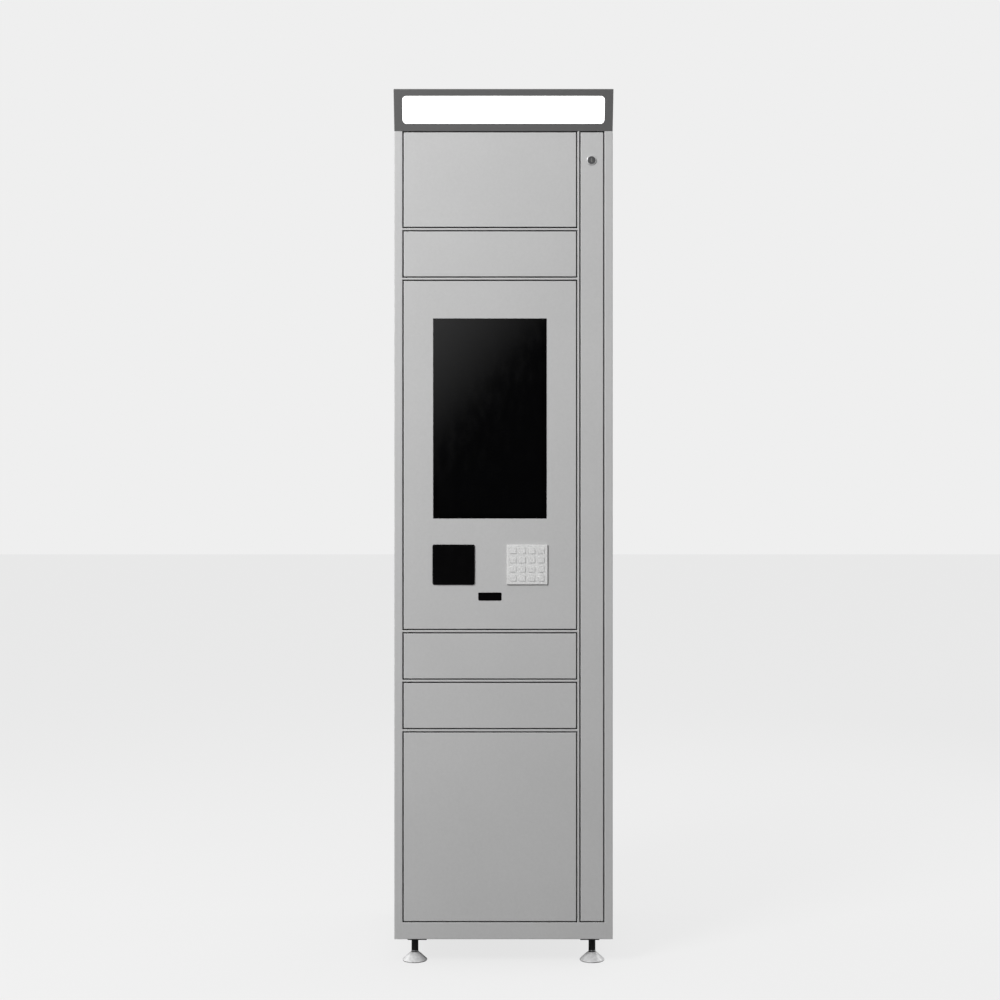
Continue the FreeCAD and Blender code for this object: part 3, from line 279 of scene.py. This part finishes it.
def opal(name, strength):
    """Opal acrylic lit from behind, a little dimmer towards the sign's ends."""
    s = Shader(name, (0.9, 0.9, 0.9), 0.32)
    low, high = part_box("sign_diffuser")
    where = s.add("ShaderNodeSeparateXYZ")
    s.link(s.position, where.inputs[0])
    off_centre = s.math("ABSOLUTE", s.math("DIVIDE", where.outputs["X"], high.x))
    glow = s.math("MULTIPLY", s.spread(off_centre, 1.0, 0.93, 0.75, 1.0),
                  s.spread(s.noise(30 * MM, 2.0), 0.985, 1.015))
    s.set("Emission Color", (1.0, 0.995, 0.985, 1.0))
    s.drive("Emission Strength", s.math("MULTIPLY", glow, strength))
    s.bump(s.noise(0.5 * MM, 2.0), 0.08, 0.03 * MM, rounding=0.3 * MM)
    return s.material


def circuit_board(name):
    """Green solder mask over copper tracks, with tinned pads."""
    s = Shader(name, (0.012, 0.10, 0.04), 0.35)
    tracks = s.add("ShaderNodeTexBrick")
    for socket, value in (("Scale", 1.0), ("Brick Width", 13 * MM), ("Row Height", 3.1 * MM),
                          ("Mortar Size", 0.28 * MM), ("Mortar Smooth", 0.1)):
        tracks.inputs[socket].default_value = value
    turned = s.add("ShaderNodeMapping")
    turned.inputs["Rotation"].default_value = (math.radians(90), 0.0, 0.0)
    s.link(s.position, turned.inputs["Vector"])
    s.link(turned.outputs[0], tracks.inputs["Vector"])
    pads = s.spread(s.cells(2.6 * MM, "Distance", 0.35), 1.0, 0.0, 0.20, 0.24)
    green = s.mix(tracks.outputs["Fac"], (0.010, 0.095, 0.035), (0.022, 0.17, 0.065))
    s.drive("Base Color", s.mix(pads, green, (0.52, 0.50, 0.42)))
    s.drive("Metallic", s.math("MULTIPLY", pads, 0.8))
    s.bump(tracks.outputs["Fac"], 0.4, 0.05 * MM)
    return s.material


def ribbed_conduit(name, color, pitch):
    """Flexible conduit with a rib at each pitch along Z."""
    s = Shader(name, color, 0.5)
    s.drive("Roughness", s.spread(s.noise(9 * MM, 4.0), 0.42, 0.66))
    waves = s.add("ShaderNodeTexWave", bands_direction="Z")
    waves.inputs["Scale"].default_value = math.pi / (10 * pitch)
    s.link(s.position, waves.inputs["Vector"])
    s.bump(waves.outputs["Fac"], 0.9, 0.6 * MM)
    return s.material


LIGHT_GREY = (0.500, 0.500, 0.500)
DARK_GREY = (0.125, 0.125, 0.125)
MATERIALS = {
    "light_coat": powder_coat("light grey powder coat", LIGHT_GREY, (0.70, 0.70, 0.70)),
    "dark_coat": powder_coat("dark grey powder coat", DARK_GREY, (0.26, 0.26, 0.26), roughness=0.58),
    "zinc_sheet": galvanised("galvanised sheet", (0.62, 0.63, 0.64)),
    "zinc_fixing": plated_metal("zinc plate", (0.70, 0.71, 0.73)),
    "black_stud": moulded("black oxide stud", (0.012, 0.012, 0.012), 0.34, 0.8 * MM, 0.1),
    "foot_pad": plated_metal("polished zinc plate", (0.93, 0.93, 0.935), 0.14, metallic=0.25),
    "rubber_sole": moulded("sole rubber", (0.025, 0.025, 0.025), 0.8),
    "lock_case": moulded("lock case", (0.022, 0.022, 0.024), 0.42),
    "opal_panel": opal("opal acrylic", 1.5),
    "lamp": opal("light strip", 2.0),
    "black_aluminium": plated_metal("black anodising", (0.035, 0.035, 0.038), 0.38),
    "supply_case": blasted_metal("supply case", (0.60, 0.61, 0.62), 0.34, 0.08, 0.45 * MM),
    "circuit_board": circuit_board("circuit board"),
    "cable_jacket": ribbed_conduit("ribbed conduit", (0.018, 0.018, 0.018), 2.6 * MM),
    "black_nylon": moulded("black nylon", (0.018, 0.018, 0.018), 0.5),
    "display_glass": display_surface(),
    # black powder coat on the display's frame and the base rails; where the rails show below the skirt, their
    # black also stands in for the shade under the body, a painted shade
    "black_steel": powder_coat("black powder coat", (0.022, 0.022, 0.023), (0.12, 0.12, 0.12)),
    "reader_face": gloss_black("reader face", (0.0016, 0.0016, 0.0017), 0.12, 0.12).material,
    "scanner_window": gloss_black("scanner window", (0.0016, 0.0014, 0.0016), 0.06, 0.12).material,
    "keypad_metal": blasted_metal("keypad steel", (0.80, 0.80, 0.795), 0.46, 0.21, 0.62 * MM, metallic=0.3,
                                  rub_and_highlight=0.0),
    # keys: edges lightened to full white, a painted highlight along each key's edges
    "key_metal": blasted_metal("key steel", (0.82, 0.82, 0.815), 0.42, 0.21, 0.62 * MM, metallic=0.3,
                               rub_and_highlight=1.0, bright=1.0),
    "lock_metal": plated_metal("satin chrome", (0.78, 0.78, 0.785), 0.42),
    "lock_plug": plated_metal("gunmetal", (0.15, 0.15, 0.153), 0.42),
    "lock_shutter": plated_metal("nickel silver", (0.34, 0.34, 0.33), 0.40),
    "relay_blue": moulded("relay case", (0.02, 0.07, 0.22), 0.3, strength=0.05),
    "plug_white": moulded("plug housing", (0.72, 0.70, 0.62), 0.45, strength=0.08),
    "terminal_green": moulded("terminal block", (0.03, 0.22, 0.09), 0.45, strength=0.08),
    "legend_paint": moulded("key legend paint", (0.60, 0.60, 0.60), 0.5),
    "led_green": moulded("green light", (0.02, 0.55, 0.12), 0.3, strength=0.02),
    "rubber": moulded("bumper rubber", (0.03, 0.03, 0.03), 0.75),
    "foam_seal": moulded("closed-cell foam", (0.02, 0.02, 0.02), 0.9, 0.8 * MM, 0.6),
}


# ---------------------------------------------------------------- finishes on the CAD nodes
def solids_of(node):
    """Lists each separate solid in a node: its polygons, its lowest corner and its highest corner."""
    mesh = NODES[node].data
    parent = {}

    def find(a):
        while parent[a] != a:
            parent[a] = parent[parent[a]]
            a = parent[a]
        return a

    place = {}
    keys = []
    for v in mesh.vertices:
        key = tuple(round(c / (0.01 * MM)) for c in v.co)
        place.setdefault(key, v.index)
        keys.append(place[key])
    for index in set(keys):
        parent[index] = index
    for polygon in mesh.polygons:
        first = find(keys[polygon.vertices[0]])
        for v in polygon.vertices[1:]:
            parent[find(keys[v])] = first
    groups = {}
    for polygon in mesh.polygons:
        groups.setdefault(find(keys[polygon.vertices[0]]), []).append(polygon)
    found = []
    for polygons in groups.values():
        points = [mesh.vertices[v].co for p in polygons for v in p.vertices]
        low = Vector([min(p[i] for p in points) for i in range(3)])
        high = Vector([max(p[i] for p in points) for i in range(3)])
        found.append((polygons, low, high))
    return found


def finish_node(node, finish):
    mesh = NODES[node].data
    mesh.materials.clear()
    mesh.materials.append(MATERIALS[finish])


def finish_solids(node, finish, wanted):
    """Gives a node's solids whose lowest corner, highest corner and size pass the test another finish."""
    mesh = NODES[node].data
    mesh.materials.append(MATERIALS[finish])
    index = len(mesh.materials) - 1
    for polygons, low, high in solids_of(node):
        if wanted(low, high, high - low):
            for polygon in polygons:
                polygon.material_index = index


for entry in frame["record"]["subparts"]:
    finish_node(entry["node"], entry["material_slot"])
finish_node("cam_lock_plug", "lock_plug")
finish_node("hinge_pins", "black_stud")

# Feet's soles, studs' lock nuts, hinge washers, the cam lock's lever and screw, and the doors' strikers
finish_solids("levelling_feet", "rubber_sole", lambda low, high, size: high.z < 4 * MM)
finish_solids("levelling_studs", "zinc_fixing", lambda low, high, size: size.z < 12 * MM)
finish_solids("hinge_pins", "black_nylon", lambda low, high, size: size.z < 3 * MM)
finish_solids("cam_lock_plug", "zinc_fixing", lambda low, high, size: size.y < 4 * MM)
for door in DOORS:
    finish_solids(f"{door}_door", "zinc_fixing",
                  lambda low, high, size: size.x < 25 * MM and size.z < 40 * MM)

# The display's mounting frame, the reader's case, and the scan engine
finish_solids("display_module", "black_steel", lambda low, high, size: size.y < 5 * MM)
finish_solids("card_reader", "black_nylon", lambda low, high, size: size.y > 10 * MM)
finish_solids("barcode_scanner", "black_nylon", lambda low, high, size: size.y > 10 * MM)

# The sign's light strips and driver, and the supply's terminal block
finish_solids("sign_light", "lamp", lambda low, high, size: size.x > 0.43 and size.z < 20 * MM)
finish_solids("sign_light", "supply_case", lambda low, high, size: size.x < 0.2)
finish_solids("power_supply", "terminal_green", lambda low, high, size: size.z < 30 * MM)

# The controller's relays, lock connectors, processor, and its stand-offs with their screws
finish_solids("lock_controller", "relay_blue", lambda low, high, size: 18 * MM < size.x < 20 * MM)
finish_solids("lock_controller", "plug_white", lambda low, high, size: 11 * MM < size.x < 13 * MM)
finish_solids("lock_controller", "black_nylon", lambda low, high, size: 25 * MM < size.x < 27 * MM)
finish_solids("lock_controller", "zinc_fixing", lambda low, high, size: size.x < 7 * MM)


# ---------------------------------------------------------------- mesh helpers
FORWARD, BACK, RIGHT, UP = (0, -1, 0), (0, 1, 0), (1, 0, 0), (0, 0, 1)
SUNK = -0.2  # how far a fitting's outline starts below the surface that it stands on, in millimetres


def piece(name, mesh, body, material, smooth=False):
    """A new object from a mesh, finished and riding on a body."""
    obj = bpy.data.objects.new(name, mesh)
    bpy.context.scene.collection.objects.link(obj)
    mesh.materials.clear()
    mesh.materials.append(MATERIALS[material])
    for polygon in mesh.polygons:
        polygon.use_smooth = smooth
    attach(obj, body)


def text_mesh(name, word, height, thickness):
    """A word as a closed mesh, centred, upright in XZ and facing -Y."""
    curve = bpy.data.curves.new(name, "FONT")
    curve.body = word
    curve.size = height
    curve.extrude = thickness / 2
    curve.align_x, curve.align_y = "CENTER", "CENTER"
    curve.resolution_u = 6
    holder = bpy.data.objects.new(name + " curve", curve)
    mesh = bpy.data.meshes.new_from_object(holder)
    bpy.data.objects.remove(holder)
    mesh.transform(Matrix.Rotation(math.radians(90), 4, "X"))
    xs = [v.co.x for v in mesh.vertices]
    zs = [v.co.z for v in mesh.vertices]
    mesh.transform(Matrix.Translation((-(min(xs) + max(xs)) / 2, 0, -(min(zs) + max(zs)) / 2)))
    return mesh


def in_mm(*points):
    """Points of an outline given in millimetres, in metres."""
    return [(radius * MM, along * MM) for radius, along in points]


def lathe(name, profile, place, axis, sides=24):
    """A turned mesh: (radius, distance along the axis) points in a closed loop, or ending on the axis."""
    mesh = bpy.data.meshes.new(name)
    shape = bmesh.new()
    turns = [math.tau * k / sides for k in range(sides)]
    rings = []
    for radius, along in profile:
        rings.append([shape.verts.new((radius * math.cos(turn), radius * math.sin(turn), along))
                      for turn in (turns if radius > 0 else turns[:1])])
    open_ended = len(rings[0]) == 1
    pairs = list(zip(rings, rings[1:])) + ([] if open_ended else [(rings[-1], rings[0])])
    for lower, upper in pairs:
        for k in range(sides):
            corners = [lower[k % len(lower)], lower[(k + 1) % len(lower)],
                       upper[(k + 1) % len(upper)], upper[k % len(upper)]]
            shape.faces.new(list(dict.fromkeys(corners)))
    bmesh.ops.recalc_face_normals(shape, faces=shape.faces)
    shape.to_mesh(mesh)
    shape.free()
    tilt = Vector((0, 0, 1)).rotation_difference(Vector(axis)).to_matrix().to_4x4()
    mesh.transform(Matrix.Translation(place) @ tilt)
    return mesh


def block(name, low, high, bevel=0.4 * MM):
    """A box mesh with bevelled edges, between two corners."""
    mesh = bpy.data.meshes.new(name)
    shape = bmesh.new()
    corners = [shape.verts.new((x, y, z)) for x in (low[0], high[0]) for y in (low[1], high[1])
               for z in (low[2], high[2])]
    for face in ((0, 1, 3, 2), (4, 6, 7, 5), (0, 4, 5, 1), (2, 3, 7, 6), (0, 2, 6, 4), (1, 5, 7, 3)):
        shape.faces.new([corners[k] for k in face])
    bmesh.ops.recalc_face_normals(shape, faces=shape.faces)
    bmesh.ops.bevel(shape, geom=list(shape.edges), offset=bevel, segments=2, affect="EDGES", profile=0.6)
    shape.to_mesh(mesh)
    shape.free()
    return mesh


def turned_piece(name, profile, place, axis, body, material, sides=24, smooth=False):
    """A piece turned from an outline."""
    piece(name, lathe(name, profile, place, axis, sides), body, material, smooth)


def screw(name, place, axis, radius, body="root"):
    """A pan head with a sunk round socket."""
    rise = radius * 0.55
    profile = [(0, SUNK * MM), (radius, SUNK * MM), (radius, rise * 0.45), (radius * 0.82, rise * 0.85),
               (radius * 0.45, rise), (radius * 0.38, rise), (radius * 0.36, rise * 0.35), (0, rise * 0.35)]
    turned_piece(name, profile, place, axis, body, "zinc_fixing")


def corner_screws(prefix, node, body, inset_x, inset_z, radius, face_y, axis):
    """A screw near each corner of a node's upright face."""
    low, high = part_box(node)
    places = [(x, face_y, z) for x in (low.x + inset_x, high.x - inset_x)
              for z in (low.z + inset_z, high.z - inset_z)]
    for k, place in enumerate(places):
        screw(f"{prefix}_{k}", place, axis, radius, body)


# ---------------------------------------------------------------- key legends
LEGENDS = {"star": "*", "hash": "#", "cancel": "X", "clear": "<", "enter": "O", "help": "?"}
LEGEND_HEIGHT, LEGEND_THICKNESS = 7.2 * MM, 0.08 * MM
for key in KEYS:
    low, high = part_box(f"key_{key}")
    mesh = text_mesh(f"legend_{key}", LEGENDS.get(key, key), LEGEND_HEIGHT, LEGEND_THICKNESS)
    mesh.transform(Matrix.Translation(((low.x + high.x) / 2, low.y, (low.z + high.z) / 2)))
    piece(f"legend_{key}", mesh, f"key_{key}", "legend_paint")


# ---------------------------------------------------------------- service lock's key-slot shutter
SHUTTER_HALF_W, SHUTTER_HALF_H = 1.15 * MM, 4.4 * MM
low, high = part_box("cam_lock_plug")
lock_x, lock_z = (low.x + high.x) / 2, high.z - (high.x - low.x) / 2
shutter = block("key_slot_shutter",
                (lock_x - SHUTTER_HALF_W, low.y + 0.25 * MM, lock_z - SHUTTER_HALF_H),
                (lock_x + SHUTTER_HALF_W, low.y + 1.3 * MM, lock_z + SHUTTER_HALF_H), 0.25 * MM)
piece("key_slot_shutter", shutter, "cam_lock_plug", "lock_shutter")


# ---------------------------------------------------------------- retaining rings in the studs' grooves
STUD_RING = in_mm((7.15, 0.1), (8.15, 0.1), (8.3, 0.6), (8.15, 1.1), (7.15, 1.1))
RING_RISE = 2.4 * MM
pad_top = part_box("levelling_feet")[1].z
pads = [(low + high) / 2 for _, low, high in solids_of("levelling_feet") if high.z > 10 * MM]
for number, centre in enumerate(pads):
    turned_piece(f"stud_ring_{number}", STUD_RING, (centre.x, centre.y, pad_top + RING_RISE), UP,
                 "root", "zinc_fixing", sides=48)


# ---------------------------------------------------------------- lock housings' screws and lead plugs
HOUSING_SCREW_R = 2.2 * MM
SCREW_LOW, SCREW_HIGH, SCREW_NEAR, SCREW_FAR = 8 * MM, 54 * MM, 9 * MM, 54 * MM
PLUG_HALF_W, PLUG_BOTTOM, PLUG_TOP = 4.2 * MM, 29 * MM, 39 * MM
housings = sorted(((low, high) for _, low, high in solids_of("lock_housings")), key=lambda h: h[0].z)
for number, (low, high) in enumerate(housings):
    corners = [(back, up) for back in (SCREW_NEAR, SCREW_FAR) for up in (SCREW_LOW, SCREW_HIGH)]
    for k, (back, up) in enumerate(corners):
        screw(f"lock_screw_{number}_{k}", (high.x, low.y + back, low.z + up), RIGHT, HOUSING_SCREW_R)
    mid_x = (low.x + high.x) / 2
    plug = block(f"lock_plug_{number}", (mid_x - PLUG_HALF_W, high.y - 0.3 * MM, low.z + PLUG_BOTTOM),
                 (mid_x + PLUG_HALF_W, high.y + 2.5 * MM, low.z + PLUG_TOP))
    piece(f"lock_lead_plug_{number}", plug, "root", "plug_white")


# ---------------------------------------------------------------- doors' seals, whose black is also painted shade in the lock-side gaps, and bumpers
SEAL_LEFT, SEAL_RIGHT, SEAL_T, SEAL_SHORT = 1.5 * MM, 7.5 * MM, 3.5 * MM, 6 * MM
STRIP_DEPTH, DOOR_DEPTH = 24 * MM, 18 * MM
BUMPER = in_mm((0, SUNK), (4.2, SUNK), (4.2, 1.2), (3.2, 2.2), (0, 2.5))
BUMPER_IN, BUMPER_UP = 22 * MM, 14 * MM
strip_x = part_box("lock_post")[0].x
strip_y = FRONT_Y + STRIP_DEPTH
for door in DOORS:
    low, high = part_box(f"{door}_door")
    # black foam seals on the lock post; their black strip also stands in for the shade deep in each door's
    # lock-side gap, a painted shade
    seal_and_gap_shade = block(f"{door}_seal", (strip_x + SEAL_LEFT, strip_y - SEAL_T, low.z + SEAL_SHORT),
                 (strip_x + SEAL_RIGHT, strip_y + 0.1 * MM, high.z - SEAL_SHORT), 0.9 * MM)
    piece(f"{door}_seal", seal_and_gap_shade, "root", "foam_seal")
    for k, z in enumerate((low.z + BUMPER_UP, high.z - BUMPER_UP)):
        turned_piece(f"{door}_bumper_{k}", BUMPER, (high.x - BUMPER_IN, FRONT_Y + DOOR_DEPTH, z), BACK,
                     f"{door}_door", "rubber", smooth=True)


# ---------------------------------------------------------------- cable ties round the loom's trunk
TIE_LOOP = in_mm((6.3, -2.3), (7.4, -2.3), (7.6, 0), (7.4, 2.3), (6.3, 2.3))
TIE_COUNT, TIE_END = 11, 60 * MM
TIE_HEAD_IN, TIE_HEAD_OUT, TIE_HEAD_HALF_W, TIE_HEAD_HALF_H = 6.6 * MM, 10.6 * MM, 2.6 * MM, 2.8 * MM
low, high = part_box("wiring_loom")
trunk_x, trunk_y = high.x - 6.5 * MM, low.y + 48 * MM
for k in range(TIE_COUNT):
    z = low.z + TIE_END + k * (high.z - low.z - 2 * TIE_END) / (TIE_COUNT - 1)
    turned_piece(f"cable_tie_{k}", TIE_LOOP, (trunk_x, trunk_y, z), UP, "root",
                 "black_nylon", sides=32)
    head = block(f"cable_tie_head_{k}",
                 (trunk_x + TIE_HEAD_IN, trunk_y - TIE_HEAD_HALF_W, z - TIE_HEAD_HALF_H),
                 (trunk_x + TIE_HEAD_OUT, trunk_y + TIE_HEAD_HALF_W, z + TIE_HEAD_HALF_H))
    piece(f"cable_tie_head_{k}", head, "root", "black_nylon")


# ---------------------------------------------------------------- fixings of the plate and the display
low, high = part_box("equipment_plate")
corner_screws("plate_screw", "equipment_plate", "root", 7 * MM, 40 * MM, 3.2 * MM, high.y - 1.5 * MM, FORWARD)
low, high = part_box("display_module")
corner_screws("display_screw", "display_module", "kiosk_door", 18 * MM, 18 * MM, 2.6 * MM, high.y, BACK)


# ---------------------------------------------------------------- parts on the lock controller's board
BOARD_LIGHT = in_mm((0, SUNK), (1.4, SUNK), (1.4, 1.4), (0.9, 2.1), (0, 2.4))
LIGHT_COUNT, LIGHT_PITCH = 6, 26 * MM
CAPACITOR = in_mm((0, SUNK), (4.6, SUNK), (4.6, 0.8), (4.3, 1.4), (4.6, 2.0), (4.6, 10.4), (4.1, 11), (0, 11))
CAPACITOR_PITCH_X, CAPACITOR_PITCH_Z = 13 * MM, 14 * MM
low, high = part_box("lock_controller")
board_y = high.y - 13.6 * MM
for k in range(LIGHT_COUNT):
    place = (high.x - 20 * MM, board_y, low.z + 35 * MM + k * LIGHT_PITCH)
    turned_piece(f"board_light_{k}", BOARD_LIGHT, place, FORWARD, "root", "led_green",
                 sides=16, smooth=True)
for k in range(4):
    place = (low.x + 60 * MM + k % 2 * CAPACITOR_PITCH_X, board_y,
             low.z + 22 * MM + k // 2 * CAPACITOR_PITCH_Z)
    turned_piece(f"board_capacitor_{k}", CAPACITOR, place, FORWARD, "root", "lock_case")


# ---------------------------------------------------------------- supply's terminals, and the roof's grommet
TERMINAL_COUNT, TERMINAL_PITCH, TERMINAL_R = 7, 13.3 * MM, 3.4 * MM
low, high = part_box("power_supply")
for k in range(TERMINAL_COUNT):
    place = (low.x + 15 * MM + k * TERMINAL_PITCH, high.y - 40 * MM, low.z + 11 * MM)
    screw(f"terminal_screw_{k}", place, FORWARD, TERMINAL_R)

GROMMET = in_mm((11.0, -3.0), (14.2, -3.0), (17.0, -2.4), (17.0, -0.9), (13.7, -0.9),
                (13.7, 0.9), (17.0, 0.9), (17.0, 2.4), (14.2, 3.0), (11.0, 3.0))
low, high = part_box("roof_panel")
turned_piece("roof_grommet", GROMMET, (high.x - 53 * MM, low.y + 378 * MM, low.z + 0.75 * MM), UP,
             "root", "rubber", sides=40)


# ---------------------------------------------------------------- studio
def area_light(name, place, target, size, power):
    """A soft rectangular light of that many watts, aimed at the target."""
    data = bpy.data.lights.new(name, "AREA")
    data.shape = "RECTANGLE"
    data.size, data.size_y = size
    data.energy = power
    obj = bpy.data.objects.new(name, data)
    bpy.context.scene.collection.objects.link(obj)
    obj.location = place
    obj.rotation_euler = (Vector(target) - Vector(place)).to_track_quat("-Z", "Y").to_euler()
    obj.visible_camera = False


def brightness_by_ray(tree, seen, cast):
    """A strength that is one value where the camera looks and another for the light it gives."""
    ray = tree.nodes.new("ShaderNodeLightPath")
    mix = tree.nodes.new("ShaderNodeMix")
    mix.data_type = "FLOAT"
    tree.links.new(ray.outputs["Is Camera Ray"], mix.inputs[0])
    for socket, value in ((mix.inputs[2], cast), (mix.inputs[3], seen)):
        if isinstance(value, float):
            socket.default_value = value
        else:
            tree.links.new(value, socket)
    return mix.outputs[0]


def studio_floor(seen, cast):
    """A wide pale floor that the locker stands on, with one brightness for the eye and another cast."""
    side = 30.0
    mesh = bpy.data.meshes.new("studio_floor")
    corners = [(-side, -side, 0), (side, -side, 0), (side, side, 0), (-side, side, 0)]
    mesh.from_pydata(corners, [], [(0, 1, 2, 3)])
    floor = bpy.data.objects.new("studio_floor", mesh)
    bpy.context.scene.collection.objects.link(floor)
    s = Shader("studio floor", (0.10, 0.10, 0.10), 0.9, specular=0.0)
    s.set("Emission Color", (1.0, 1.0, 1.0, 1.0))
    s.drive("Emission Strength", brightness_by_ray(s.tree, seen, cast))
    mesh.materials.append(s.material)


def studio_world(seen, room_cast, ahead_cast, card_cast):
    """An even room round the locker. Squarely in front it is dark, but for a soft card up to the left.

    The card starts along a slanted line and brightens away from it, which is what the display shows.
    """
    card_start, card_end = 0.0585, 0.136
    world = bpy.data.worlds.new("studio")
    bpy.context.scene.world = world
    world.use_nodes = True
    tree = world.node_tree
    background = tree.nodes["Background"]
    background.inputs["Color"].default_value = (1.0, 1.0, 1.0, 1.0)
    direction = tree.nodes.new("ShaderNodeTexCoord").outputs["Generated"]
    ahead = tree.nodes.new("ShaderNodeSeparateXYZ")
    tree.links.new(direction, ahead.inputs[0])

    def ramp(source, low, high, from_low, from_high, smooth=True):
        node = tree.nodes.new("ShaderNodeMapRange")
        node.interpolation_type = "SMOOTHSTEP" if smooth else "LINEAR"
        for socket, value in zip(("From Min", "From Max", "To Min", "To Max"),
                                 (from_low, from_high, low, high)):
            node.inputs[socket].default_value = value
        tree.links.new(source, node.inputs["Value"])
        return node.outputs["Result"]

    def combine(operation, a, b):
        node = tree.nodes.new("ShaderNodeMath")
        node.operation = operation
        tree.links.new(a, node.inputs[0])
        tree.links.new(b, node.inputs[1])
        return node.outputs[0]

    slant = tree.nodes.new("ShaderNodeVectorMath")
    slant.operation = "DOT_PRODUCT"
    tree.links.new(direction, slant.inputs[0])
    slant.inputs[1].default_value = (-1.0, 0.0, 0.85)
    glow = ramp(slant.outputs["Value"], 0.0, card_cast, card_start, card_end, smooth=False)
    card_light = combine("MULTIPLY", glow, ramp(ahead.outputs["Y"], 1.0, 0.0, -0.985, -0.965))
    room = ramp(ahead.outputs["Y"], ahead_cast, room_cast, -0.965, -0.80)
    light = combine("ADD", room, card_light)
    tree.links.new(brightness_by_ray(tree, seen, light), background.inputs["Strength"])


studio_world(seen=0.863, room_cast=0.50, ahead_cast=0.004, card_cast=2.0)
studio_floor(seen=0.76, cast=0.02)
area_light("key", (-2.4, -3.2, 3.0), (-0.2, -0.28, 1.2), (1.5, 1.5), 168.0)
area_light("rim", (1.8, 2.6, 2.6), (0.0, 0.0, 1.0), (1.5, 1.5), 20.0)
area_light("right fill", (3.2, 0.9, 1.7), (0.25, 0.0, 1.0), (1.2, 1.8), 24.0)
area_light("left fill", (-3.2, 0.9, 1.7), (-0.25, 0.0, 1.0), (1.2, 1.8), 16.0)


# ---------------------------------------------------------------- camera, level and square to the doors
VIEW_DISTANCE, VIEW_HEIGHT, VIEW_X = 4.0, 1.0655, -0.008
VIEW_WIDTH = 2.289  # what the frame spans at the doors' faces
SENSOR = 36.0
camera_data = bpy.data.cameras.new("camera")
camera_data.sensor_width = SENSOR
camera_data.lens = SENSOR * VIEW_DISTANCE / VIEW_WIDTH
camera = bpy.data.objects.new("camera", camera_data)
bpy.context.scene.collection.objects.link(camera)
camera.location = (VIEW_X, FRONT_Y - VIEW_DISTANCE, VIEW_HEIGHT)
camera.rotation_euler = (math.radians(90), 0.0, 0.0)
bpy.context.scene.camera = camera
bpy.context.scene.view_settings.view_transform = "Standard"
